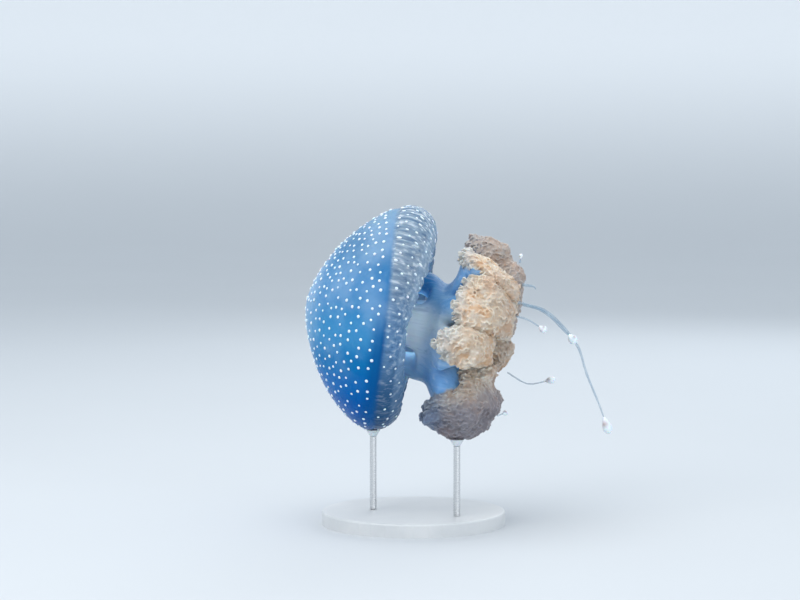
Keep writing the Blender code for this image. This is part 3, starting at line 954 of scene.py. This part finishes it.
def frillColour(place, worldZ, crest):
    look = frillLook
    dusk = attributeNode("dusk").outputs["Fac"]
    patches = mottled(place, 64, 5, 0.65, stretch=(1.0, 1.0, 0.45))
    tone = mixed(ramped(patches, ((0.46, 0.0), (0.58, 1.0))), look["cream"], look["rust"])
    tone = mixed(0.85, look["cream"], tone)
    pales = ramped(mottled(place, 105, 4, 0.6, 0.4), ((0.46, 0.0), (0.62, 0.80)))
    tone = mixed(pales, tone, look["crest"])
    grains = ramped(mottled(place, 420, 3), ((0.44, 0.0), (0.66, 1.0)))
    tone = mixed(times(grains, 0.28), tone, look["rust"])
    # low: painted shade on the lower side of the frills by world height, with its own crease, crest
    # and root tones (lowCrease, mauveCrest, lowCool)
    uneven = calc("MULTIPLY_ADD", mottled(place, 60, 2), 0.030, worldZ)
    low = ranged(uneven, 0.122, 0.088)
    tone = mixed(times(low, 0.85), tone, look["mauve"])
    # cooler at the roots, darker at the free ends
    across, _, along = splitXyz(place)
    drift = calc("MULTIPLY_ADD", mottled(place, 70, 2, 0.5, 1.0), 10 * mm, -5 * mm)
    drifting = calc("ADD", along, drift)
    cool = times(ranged(drifting, -43 * mm, -31 * mm), 0.75)
    tone = mixed(cool, tone, mixed(low, look["cool"], look["lowCool"]))
    tone = mixed(times(ranged(drifting, -57 * mm, -67 * mm), 0.32), tone, look["tip"])
    awayX = calc("SUBTRACT", across, look["streakAt"][0])
    awayZ = calc("SUBTRACT", drifting, look["streakAt"][1])
    away = calc("SQRT", calc("ADD", times(awayX, awayX), times(awayZ, awayZ)))
    tone = mixed(times(ranged(away, 9 * mm, 3 * mm), 0.55), tone, look["streak"])
    # painted shade on the bundles that lie behind others
    tone = mixed(times(dusk, 0.68), tone, look["dusk"])
    # painted shade in the creases and painted highlight along the crests, less on shaded bundles
    deep = times(ranged(crest, 0.35, 0.0), 0.3)
    tone = mixed(deep, tone, mixed(low, look["crease"], look["lowCrease"]))
    high = times(ranged(crest, 0.25, 0.9), calc("MULTIPLY_ADD", dusk, -0.12, 0.24))
    return mixed(high, tone, mixed(low, look["crest"], look["mauveCrest"]))


def domeColour(height, animalZ, above, clouds, wisps):
    dome = ramped(height, gel["domeByHeight"])
    # milky clouds in the gel and a pale haze over the apex, mixed in only on the upper side by
    # world height: the clouds are partly the gel's own and partly painted light from above, the
    # haze a painted glow of the thick gel
    upper = ranged(height, 0.20, 0.55)
    milky = times(ranged(clouds, 0.42, 0.70), 0.32)
    wispy = times(ranged(wisps, 0.5, 0.8), 0.14)
    hazy = times(ranged(animalZ, 47 * mm, 66 * mm), ranged(clouds, 0.2, 0.7, 0.30, 0.65))
    for share in (milky, wispy, hazy):
        dome = mixed(times(share, upper), dome, gel["milk"])
    line = newNode("MapRange", above, -1.2 * mm, 12.0 * mm).outputs[0]
    # painted shadow along the groove, stronger on the lower side of the bell
    shade = times(ramped(line, gel["grooveShadow"]), ranged(height, 0.68, 0.42, 0.18, 1.0))
    return mixed(shade, dome, gel["groove"])


def bellColour(place, height, animalZ, under, clouds, wisps):
    above = attributeNode("fromGroove").outputs["Fac"]
    dome = domeColour(height, animalZ, above, clouds, wisps)
    streaks = mottled(place, 60, 4, 0.6, stretch=(6.0, 6.0, 0.6))
    # pale streaks: real streaks, painted stronger higher up as light from above
    light = times(ranged(streaks, 0.50, 0.68), ranged(height, 0.1, 1.0, 0.18, 0.75))
    dark = times(ranged(streaks, 0.50, 0.32), 0.60)
    band = mixed(light, ramped(height, gel["bandByHeight"]), gel["bandLight"])
    band = mixed(dark, band, gel["bandDark"])
    rim = times(ranged(animalZ, -4.2 * mm, -6.6 * mm), ranged(height, 0.1, 0.6, 0.15, 0.30))
    band = mixed(rim, band, gel["rim"])
    outside = mixed(ranged(above, 1.8 * mm, -2.2 * mm), dome, band)
    # the lining, painted light against the shade under the bell
    lining = mixed(light, gel["under"], gel["underLight"])
    lining = mixed(dark, lining, gel["underDark"])
    inBand = ranged(animalZ, 16.0 * mm, 6.0 * mm)
    lining = mixed(inBand, lining, mixed(0.8, band, gel["underBand"]))
    return mixed(under, outside, lining)


def columnColour(height, animalZ, under, strands):
    onPillar = ranged(animalZ, -22 * mm, -10 * mm)
    arms, pillars = ramped(height, gel["armByHeight"]), ramped(height, gel["pillarByHeight"])
    tone = mixed(onPillar, arms, pillars)
    tone = mixed(times(ranged(strands, 0.48, 0.75), 0.35), tone, gel["strandLight"])
    tone = mixed(times(ranged(strands, 0.47, 0.28), 0.35), tone, gel["strandDark"])
    # the column's inner side painted pale, painted fill light in its shade
    return mixed(times(under, 0.8), tone, gel["columnInside"])


def skinFinish():
    finish, shader = newFinish("jelly skin")
    place = animalCoords()
    animalZ = splitXyz(place)[2]
    worldZ = splitXyz(objectCoords())[2]
    zones = attributeNode("zones")
    frill, flesh, under = splitColour(zones.outputs["Color"])
    # world height: the ramps on it paint light from above and shade on the lower side
    height = newNode("MapRange", worldZ, gel["lowest"], gel["highest"]).outputs[0]
    clouds = mottled(place, 26, 4, 0.5)
    wisps = mottled(place, 95, 4, 0.6)
    strands = mottled(place, 34, 4, 0.6, stretch=(9.0, 9.0, 0.7))
    body = mixed(
        flesh, bellColour(place, height, animalZ, under, clouds, wisps),
        columnColour(height, animalZ, under, strands),
    )
    rough = newNode("Mix", frill)
    feedAll(rough, {
        2: ranged(wisps, 0.35, 0.7, 0.24, 0.38),
        3: ranged(wisps, 0.35, 0.7, 0.50, 0.66),
    })
    soft = bumped(mottled(place, 240, 3), 0.35, 0.4 * mm)
    soft = bumped(times(strands, flesh), 0.5, 0.8 * mm, soft)
    grain = times(mottled(place, 900, 3, 0.6), ranged(frill, 0.0, 1.0, 0.25, 1.0))
    feedAll(shader, {
        "Base Color": mixed(frill, body, frillColour(place, worldZ, zones.outputs["Alpha"])),
        "Roughness": rough.outputs[0],
        "Normal": bumped(grain, 0.6, 0.4 * mm, soft),
        **gel["settings"],
    })
    return finish


skin.data.materials.clear()
skin.data.materials.append(skinFinish())
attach(skin, "root")
fleshNames = [
    name for name in cadNodes
    if name.startswith(("bell_", "pillar_", "arm_disc", "oral_arm", "arm_frill"))
]
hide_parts(*fleshNames)


# Warts: low white beads in even, irregular rows, copies joined into one piece

warts = {
    "seed": 11,
    "spacing": 5.5 * mm,
    "bandSpacing": 6.6 * mm,
    "spacingSpread": (0.86, 1.12),
    "closer": 0.1,                        # on the upper side, as a share
    "radius": (0.78 * mm, 1.12 * mm),
    "height": 0.72,
    "cutAt": -0.35,                       # below this the bead is cut off
    "bareStrip": (-1.6 * mm, 5.0 * mm),   # no warts this near to the groove
    "bandTo": 1.93,                       # along the section
    "bandSize": 0.85,
    "bandLong": (1.0, 1.1, 1.5, 2.2),     # dashes, on the upper side of the band
    "lowLong": 1.1,
    "upperTurns": (1, 5.2),               # up to here and from here on it is the upper side
    "tries": 14000,
    "bakeReach": 0.48,                    # the place of each bead on the bake map
    "bakePatch": (0.0015, 0.001),
    "pales": ((0.74, 0.86, 0.94), (0.88, 0.93, 0.95)),
    "cloud": (0.58, 0.72, 0.86),
    "foot": (0.30, 0.50, 0.72),
    "settings": {
        "Subsurface Weight": 0.2, "Subsurface Scale": 1.0 * mm, "Coat Weight": 0.2,
        "Coat Roughness": 0.2,
    },
}


def polarMap(point):
    # the skin flattened out from the apex, seen along the section
    spread = math.acos(max(min(point.z / max(point.length, 1e-6), 1), -1)) / math.pi
    turn = math.atan2(point.y, point.x)
    reach = warts["bakeReach"] * spread
    return 0.5 + reach * math.cos(turn), 0.5 + reach * math.sin(turn)


def joinCopies(name, template, placements, finish):
    joined = bmesh.new()
    for matrix, _ in placements:
        mesh = template.copy()
        mesh.transform(matrix)
        joined.from_mesh(mesh)
        bpy.data.meshes.remove(mesh)
    bmesh.ops.transform(joined, matrix=toWorld, verts=joined.verts[:])
    made = objectFrom(joined, name, finish)
    local = pointsOf(template)
    tints = np.array([tint for _, tint in placements], np.float32)
    lift = (local[:, 2] - local[:, 2].min()) / max(np.ptp(local[:, 2]), 1e-9)
    colours = np.ones((len(placements), len(local), 4), np.float32)
    colours[:, :, 0] = tints[:, None, 0]
    colours[:, :, 1] = lift[None]
    colours[:, :, 2] = tints[:, None, 1]
    addColours(made.data, "tint", colours)
    corner = np.zeros(len(template.loops), np.int32)
    template.loops.foreach_get("vertex_index", corner)
    wide, tall = warts["bakePatch"]
    spread = (local[corner][:, :2] / max(np.abs(local[:, :2]).max(), 1e-9)) * wide
    spread[:, 1] += (lift[corner] - 0.5) * tall
    roots = np.array([polarMap(matrix.translation) for matrix, _ in placements], np.float32)
    uv = (roots[:, None] + spread[None]).reshape(-1)
    made.data.uv_layers.new(name="OFBake").data.foreach_set("uv", uv)
    return made


def wartTemplate():
    bm = bmesh.new()
    bmesh.ops.create_uvsphere(bm, u_segments=10, v_segments=8, radius=1.0)
    cut = bmesh.ops.bisect_plane(
        bm, geom=bm.verts[:] + bm.edges[:] + bm.faces[:], plane_co=(0, 0, warts["cutAt"]),
        plane_no=(0, 0, -1), clear_outer=True,
    )["geom_cut"]
    bmesh.ops.holes_fill(bm, edges=[e for e in cut if isinstance(e, bmesh.types.BMEdge)])
    bmesh.ops.recalc_face_normals(bm, faces=bm.faces[:])
    mesh = bpy.data.meshes.new("wart")
    bm.to_mesh(mesh)
    bm.free()
    mesh.shade_smooth()
    return mesh


def sectionPoint(along, turn):
    radius, level = (float(value) for value in outerSection(along))
    _, (outR, outZ) = sectionWays(along)
    return around(radius, turn, level), around(float(outR), turn, float(outZ))


def spreadWarts():
    dice = random.Random(warts["seed"])
    reach = np.linspace(0.0, 2.0, 600)
    radius, level = outerSection(reach)
    strip = np.hypot(np.diff(radius), np.diff(level)) * (radius[1:] + radius[:-1]) / 2
    total = np.concatenate(((0.0,), np.cumsum(strip)))
    cells, placements = {}, []
    cell = warts["bandSpacing"]
    bareLow, bareHigh = warts["bareStrip"]
    upperTo, upperFrom = warts["upperTurns"]
    for _ in range(warts["tries"]):
        along = float(np.interp(dice.random() * total[-1], total, reach))
        turn = dice.random() * fullTurn
        point, outwards = sectionPoint(along, turn)
        above = point.z - float(grooveLevel(turn))
        onBand = above < 0
        if bareLow < above < bareHigh or along > warts["bandTo"]:
            continue
        spacing = cell if onBand else warts["spacing"] * dice.uniform(*warts["spacingSpread"])
        spacing *= 1 - warts["closer"] * math.cos(turn)
        if crowded(cells, point, cell, spacing):
            continue
        cells.setdefault(cellOf(point, cell), []).append(point)
        hit = skinTree.ray_cast(point + outwards * 4 * mm, -outwards, 9 * mm)[0]
        if hit is None:
            continue
        size, long = dice.uniform(*warts["radius"]), 1.0
        if onBand:
            size *= warts["bandSize"]
            onUpper = turn % fullTurn < upperTo or turn > upperFrom
            long = dice.choice(warts["bandLong"]) if onUpper else warts["lowLong"]
        down = around(0, 0, -1) - outwards * around(0, 0, -1).dot(outwards)
        side = down.cross(outwards).normalized()
        turnIn = Matrix((side, outwards.cross(side), outwards)).transposed().to_4x4()
        shape = Matrix.Diagonal((size, size * long, size * warts["height"], 1.0))
        place = Matrix.Translation(hit) @ turnIn @ shape
        placements.append((place, (dice.random(), dice.random())))
    return placements


def wartFinish():
    finish, shader = newFinish("white warts")
    tint, lift, _ = splitColour(attributeNode("tint").outputs["Color"])
    cloud = mottled(animalCoords(), 500, 3)
    tone = mixed(tint, *warts["pales"])
    tone = mixed(times(cloud, 0.25), tone, warts["cloud"])
    tone = mixed(times(ranged(lift, 0.42, 0.10), 0.6), tone, warts["foot"])
    feedAll(shader, {
        "Base Color": tone,
        "Roughness": ranged(cloud, 0.3, 0.7, 0.32, 0.5),
        "Normal": bumped(cloud, 0.4, 0.2 * mm),
        **warts["settings"],
    })
    return finish


print("warts")
wartPlaces = spreadWarts()
wartPiece = joinCopies("skinWarts", wartTemplate(), wartPlaces, wartFinish())
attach(wartPiece, "root")
print(len(wartPlaces), "warts")


# Frills: ribbons that stand on each bundle in waves, grown together with it

ribbons = {
    "seed": 5,
    "spacing": 2.2 * mm,
    "startRoom": 0.95,         # how near to others a ribbon may start and run, in spacings
    "runRoom": 0.62,
    "tries": 5,                # in each square of the spacing
    "step": 0.6 * mm,
    "most": 26,                # steps in one ribbon
    "least": 4,
    "rise": 1.40 * mm,
    "overhang": 1.5,           # how much longer they are where they overhang the arm
    "root": 0.9 * mm,          # how deep a ribbon is rooted
    "thickness": 0.85 * mm,
    "wave": 0.85 * mm,
    "waveLength": 3.8 * mm,
    "winding": 75,             # how quickly the way they run changes
    "straight": 0.6,           # how much of the way before each step keeps
    "stream": Vector((-0.22, 0.0, 0.55)),     # the way they run from the arm's root to its end
}


def bundleCore(number):
    bm = remeshed(trimmedBundle(number), bundles["coreVoxel"], bundles["corePasses"])
    for vert in bm.verts:
        place = vert.co + Vector((number, 0, 0))
        fold = noise.noise(place * 90) * bundles["broadFold"]
        fold += noise.noise(place * 210) * bundles["lump"] * (1 + 0.8 * max(vert.normal.z, 0))
        fold += (0.6 - 2 * abs(noise.noise(place * 135))) * bundles["ridge"]
        vert.co += vert.normal * (fold - bundles["coreSink"])
    bm.normal_update()
    return bm


def flattened(way, outwards):
    return (way - outwards * way.dot(outwards)).normalized()


def ribbonWay(point, outwards, before):
    flow = noise.noise_vector(point * ribbons["winding"]) + ribbons["stream"]
    flow = flattened(flow, outwards)
    if before:
        flow = flow if flow.dot(before) > 0 else -flow
        flow = flow * (1 - ribbons["straight"]) + before * ribbons["straight"]
        flow = flattened(flow, outwards)
    return flow


def traceRibbons(bm, tree, dice):
    area = sum(face.calc_area() for face in bm.faces)
    # in the order of their places, so each run draws the same ones
    faces = sorted(bm.faces, key=lambda face: [round(x, 6) for x in face.calc_center_median()])
    cells, found = {}, []
    size = ribbons["spacing"]
    for _ in range(int(area / size ** 2 * ribbons["tries"])):
        face = dice.choice(faces)
        point, outwards = face.calc_center_median(), face.normal.copy()
        if crowded(cells, point, size, size * ribbons["startRoom"]):
            continue
        line, way = [], None
        for _ in range(dice.randint(ribbons["most"] // 2, ribbons["most"])):
            way = ribbonWay(point, outwards, way)
            line.append((point, outwards, way))
            point, outwards, _, _ = tree.find_nearest(point + way * ribbons["step"])
            if crowded(cells, point, size, size * ribbons["runRoom"]):
                break
        if len(line) < ribbons["least"]:
            continue
        for spot, _, _ in line:
            cells.setdefault(cellOf(spot, size), []).append(spot)
        found.append(line)
    return found


def ribbonMesh(line, number, dice):
    count = len(line)
    bm = bmesh.new()
    bmesh.ops.create_grid(bm, x_segments=count - 1, y_segments=3, size=1.0)
    phase, tall = dice.uniform(0, fullTurn), dice.uniform(0.7, 1.25)
    pace = fullTurn / (ribbons["waveLength"] * dice.uniform(0.75, 1.3))
    for vert in bm.verts:
        k = round((vert.co.x + 1) / 2 * (count - 1))
        up = (vert.co.y + 1) / 2
        point, outwards, way = line[k]
        side = outwards.cross(way)
        ends = min(k, count - 1 - k) / 3
        rise = ribbons["rise"] * tall * (0.35 + 0.65 * min(ends, 1.0))
        rise *= 1 + ribbons["overhang"] * max(outwards.z, 0.0)
        rise *= bundles["riseShare"][number] * (1 + 0.3 * noise.noise(point * 330))
        wave = math.sin(k * ribbons["step"] * pace + phase) + 0.5 * noise.noise(point * 450)
        lean = wave * ribbons["wave"] * up ** 1.5
        vert.co = point + outwards * (-ribbons["root"] * (1 - up) + rise * up) + side * lean
    bmesh.ops.recalc_face_normals(bm, faces=bm.faces[:])
    return bm


def buildBundle(number, finish):
    dice = random.Random(ribbons["seed"] + number)
    core = bundleCore(number)
    tree = BVHTree.FromBMesh(core)
    lines = traceRibbons(core, tree, dice)
    strips = bmesh.new()
    for line in lines:
        addTo(strips, ribbonMesh(line, number, dice))
    addTo(core, withModifier(
        objectFrom(strips, "strips"), "SOLIDIFY", thickness=ribbons["thickness"], offset=0.0
    ))
    bm = remeshed(core, bundles["voxel"], bundles["passes"])
    dropBits(bm)
    crests = []
    for vert in bm.verts:
        grain = noise.noise(vert.co * 900) + 0.6 * noise.noise(vert.co * 1900)
        crests.append(tree.find_nearest(vert.co)[3] / ribbons["rise"])
        vert.co += vert.normal * grain * bundles["grain"]
    made = objectFrom(bm, f"frillBundle{number + 1}", finish)
    addValues(made.data, "crest", np.clip(np.array(crests, np.float32), 0, 1))
    addValues(made.data, "dusk", [bundles["dusk"][number]] * len(crests))
    made.data.transform(toWorld)
    return made


def bundleFinish():
    finish, shader = newFinish("frilled arms")
    place = animalCoords()
    worldZ = splitXyz(objectCoords())[2]
    cloud = mottled(place, 700, 3)
    feedAll(shader, {
        "Base Color": frillColour(place, worldZ, attributeNode("crest").outputs["Fac"]),
        "Roughness": ranged(cloud, 0.3, 0.7, 0.42, 0.60),
        "Normal": bumped(cloud, 0.4, 0.3 * mm),
        **frillLook["settings"],
    })
    return finish


print("frills")
bundleLook = bundleFinish()
for number in range(column["arms"]):
    piece = buildBundle(number, bundleLook)
    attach(piece, "root")
    print(piece.name, len(piece.data.polygons), "faces")


# Filaments: each one smooth strand through its lengths

strand = {
    "count": 7,
    "grow": 0.22 * mm,         # the short ones
    "growLong": 0.0,
    "voxel": 0.30 * mm,
    "passes": 4,
    "unevenness": 0.20 * mm,
    "cloud": (160, 3, 0.6),
    "between": (0.35, 0.7),
    "tones": ((0.160, 0.300, 0.430), (0.360, 0.500, 0.600)),
    "gloss": (0.3, 0.7, 0.15, 0.3),
    "fine": (600, 2),
    "bump": (0.4, 0.3 * mm),
    "settings": {"Alpha": 0.35, "Coat Weight": 0.3},
}


def strandFrom(number, names, finish):
    bm = cadCopy(names, strand["growLong" if len(names) > 1 else "grow"])
    bm = remeshed(bm, strand["voxel"], strand["passes"])
    for vert in bm.verts:
        vert.co += vert.normal * noise.noise(vert.co * 260) * strand["unevenness"]
    bmesh.ops.transform(bm, matrix=toWorld, verts=bm.verts[:])
    return objectFrom(bm, f"filament{number}", finish)


print("filaments and clubs")
filamentLook = plainFinish("filament gel", strand, animalCoords)
filamentNames = sorted(name for name in cadNodes if name.startswith("filament_"))
for number in range(1, strand["count"] + 1):
    names = [name for name in filamentNames if name.split("_")[1] == str(number)]
    piece = strandFrom(number, names, filamentLook)
    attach(piece, "root")
    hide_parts(*names)


# Clubs: milky drops with a darker heart

clubs = {
    "grow": 0.25 * mm,
    "levels": 3,
    "heartAt": -0.25,             # along the club from its middle, as a share of its half
    "heartHalf": 0.5,
    "milk": ((0.84, 0.90, 0.94), (0.55, 0.70, 0.80)),
    "heart": (0.36, 0.27, 0.27),
    "settings": {
        "Subsurface Weight": 0.3, "Subsurface Scale": 1.5 * mm, "Coat Weight": 0.4,
        "Coat Roughness": 0.12,
    },
}


def clubFinish():
    finish, shader = newFinish("club milk")
    heart = attributeNode("heart").outputs["Fac"]
    cloud = mottled(animalCoords(), 420, 3)
    tone = mixed(times(cloud, 0.5), *clubs["milk"])
    feedAll(shader, {
        "Base Color": mixed(times(heart, 0.75), tone, clubs["heart"]),
        "Roughness": ranged(cloud, 0.3, 0.7, 0.2, 0.4),
        "Normal": bumped(cloud, 0.4, 0.3 * mm),
        **clubs["settings"],
    })
    return finish


def clubFrom(name, finish):
    made = objectFrom(cadCopy([name], clubs["grow"]), name.replace("_", ""), finish)
    withModifier(made, "SUBSURF", levels=clubs["levels"], render_levels=clubs["levels"])
    points = pointsOf(made.data)
    middle = points.mean(0)
    _, _, ways = np.linalg.svd(points - middle, full_matrices=False)
    share = (points - middle) @ ways[0]
    share = share / max(np.abs(share).max(), 1e-9)
    if points[share < 0].std() > points[share > 0].std():
        share = -share
    turns = np.arctan2((points - middle) @ ways[2], (points - middle) @ ways[1])
    heart = np.clip(1 - np.abs(share - clubs["heartAt"]) / clubs["heartHalf"], 0, 1)
    addValues(made.data, "heart", heart * (0.55 + 0.45 * np.cos(turns * 2)))
    made.data.transform(toWorld)
    made.data.shade_smooth()
    return made


clubLook = clubFinish()
for name in sorted(name for name in cadNodes if name.startswith("club_")):
    piece = clubFrom(name, clubLook)
    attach(piece, "root")
    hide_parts(name)


# Stand: the shaped nodes stay and get their finish

standLooks = {
    "base": ("stand base satin", {
        "cloud": (30, 4),
        "between": (0.35, 0.65),
        "tones": ((0.60, 0.615, 0.625), (0.66, 0.67, 0.675)),
        "gloss": (0.3, 0.7, 0.36, 0.48),
        "fine": (2400, 2),
        "bump": (0.25, 0.1 * mm),
        "settings": {"Coat Weight": 0.15},
    }),
    "rod": ("stand rod steel", {
        "cloud": (300, 3),
        "stretch": (1.0, 1.0, 14.0),
        "tones": ((0.60, 0.61, 0.62), (0.74, 0.745, 0.75)),
        "gloss": (0.3, 0.7, 0.22, 0.36),
        "bump": (0.15, 0.05 * mm),
        "settings": {"Metallic": 1.0},
    }),
    "pad": ("stand pad silicone", {
        "cloud": (350, 3),
        "tones": ((0.62, 0.68, 0.72), (0.76, 0.80, 0.82)),
        "gloss": (0.3, 0.7, 0.38, 0.55),
        "bump": (0.3, 0.1 * mm),
        "settings": {"Subsurface Weight": 0.2, "Subsurface Scale": 1.0 * mm},
    }),
}

print("stand")
for name, node in cadNodes.items():
    if name.startswith("stand_"):
        finishName, look = standLooks[name.split("_")[1]]
        node.data.materials.clear()
        node.data.materials.append(plainFinish(finishName, look, objectCoords))


# Stage, lights and camera

stage = {
    "flat": 3.2,
    "curve": 2.4,
    "steps": 12,
    "turns": 64,
    "floor": (0.60, 0.625, 0.65),
    "patches": 0.97,
    "wall": (0.98, 0.99, 1.0),
    "wallFrom": 0.5,
    "air": (0.80, 0.88, 0.96),
    "airStrength": 0.95,
    # place from the middle of the model, size, power, colour
    "softboxes": {
        "topSoftbox": ((-0.25, -0.15, 1.2), 1.2, 7.0, (1.0, 0.99, 0.97)),
        "keySoftbox": ((-1.0, -1.1, 0.9), 1.2, 8.0, (1.0, 0.98, 0.95)),
        "fillSoftbox": ((1.1, -1.2, 0.15), 1.1, 7.0, (0.95, 0.98, 1.0)),
        "backSoftbox": ((0.4, 1.3, 0.8), 1.0, 4.0, (0.93, 0.97, 1.0)),
    },
    # a small light inside the column, for what the jelly lets through
    "glow": {"energy": 0.010, "shadow_soft_size": 8 * mm, "color": (0.70, 0.88, 1.0)},
    "glowLevel": 4 * mm,
}


def buildStage():
    # one pale floor that curves up all round, far behind the object
    line = [(0, 0), (stage["flat"], 0)]
    for k in range(1, stage["steps"] + 1):
        bend = math.pi / 2 * k / stage["steps"]
        radius = stage["flat"] + stage["curve"] * math.sin(bend)
        line.append((radius, stage["curve"] * (1 - math.cos(bend))))
    bm = bmesh.new()
    spunInto(bm, line, stage["turns"], 1e-5)
    if sum(face.normal.z for face in bm.faces) < 0:
        bmesh.ops.reverse_faces(bm, faces=bm.faces[:])
    finish, shader = newFinish("stage paper")
    place = objectCoords()
    patchy = tuple(value * stage["patches"] for value in stage["floor"])
    low = mixed(mottled(place, 3, 2), patchy, stage["floor"])
    risen = ranged(splitXyz(place)[2], 0.0, stage["wallFrom"])
    feedAll(shader, {"Base Color": mixed(risen, low, stage["wall"]), "Roughness": 0.9})
    objectFrom(bm, "stageFloor", finish)


def addLight(name, kind, place, settings):
    light = bpy.data.lights.new(name, kind)
    for key, value in settings.items():
        setattr(light, key, value)
    made = bpy.data.objects.new(name, light)
    made.location = place
    bpy.context.scene.collection.objects.link(made)
    return made


buildStage()
middle = (cadLow + cadHigh) / 2
for name, (away, size, power, colour) in stage["softboxes"].items():
    made = addLight(name, "AREA", middle + Vector(away), {
        "shape": "DISK", "size": size, "energy": power, "color": colour,
    })
    made.rotation_euler = (middle - made.location).to_track_quat("-Z", "Y").to_euler()
addLight("innerGlow", "POINT", toWorld @ Vector((0, 0, stage["glowLevel"])), stage["glow"])
world = bpy.data.worlds.new("studio air")
world.use_nodes = True
feedAll(world.node_tree.nodes["Background"], {0: stage["air"], 1: stage["airStrength"]})
bpy.context.scene.world = world
bpy.context.scene.view_settings.view_transform = "Standard"

view = {
    "distance": 1.6,
    "elevation": math.radians(4),
    "widthAtObject": 0.5216,     # what the picture's width spans at the animal
    "right": -0.0039,
    "up": 0.0137,
    "sensor": 36.0,
}
gaze = Vector((0, math.cos(view["elevation"]), -math.sin(view["elevation"])))
upright = Vector((0, math.sin(view["elevation"]), math.cos(view["elevation"])))
camera = bpy.data.objects.new("camera", bpy.data.cameras.new("camera"))
camera.data.sensor_width = view["sensor"]
camera.data.lens = view["sensor"] * view["distance"] / view["widthAtObject"]
camera.location = (
    pose["mouthCentre"] - gaze * view["distance"] + Vector((view["right"], 0, 0))
    + upright * view["up"]
)
camera.rotation_euler = gaze.to_track_quat("-Z", "Y").to_euler()
camera.data.clip_start, camera.data.clip_end = 0.05, 20.0
bpy.context.scene.collection.objects.link(camera)
bpy.context.scene.camera = camera

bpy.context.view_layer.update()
for piece in bpy.data.objects:
    if piece.type == "MESH" and not piece.hide_render:
        print(piece.name, sum(len(face.vertices) - 2 for face in piece.data.polygons))
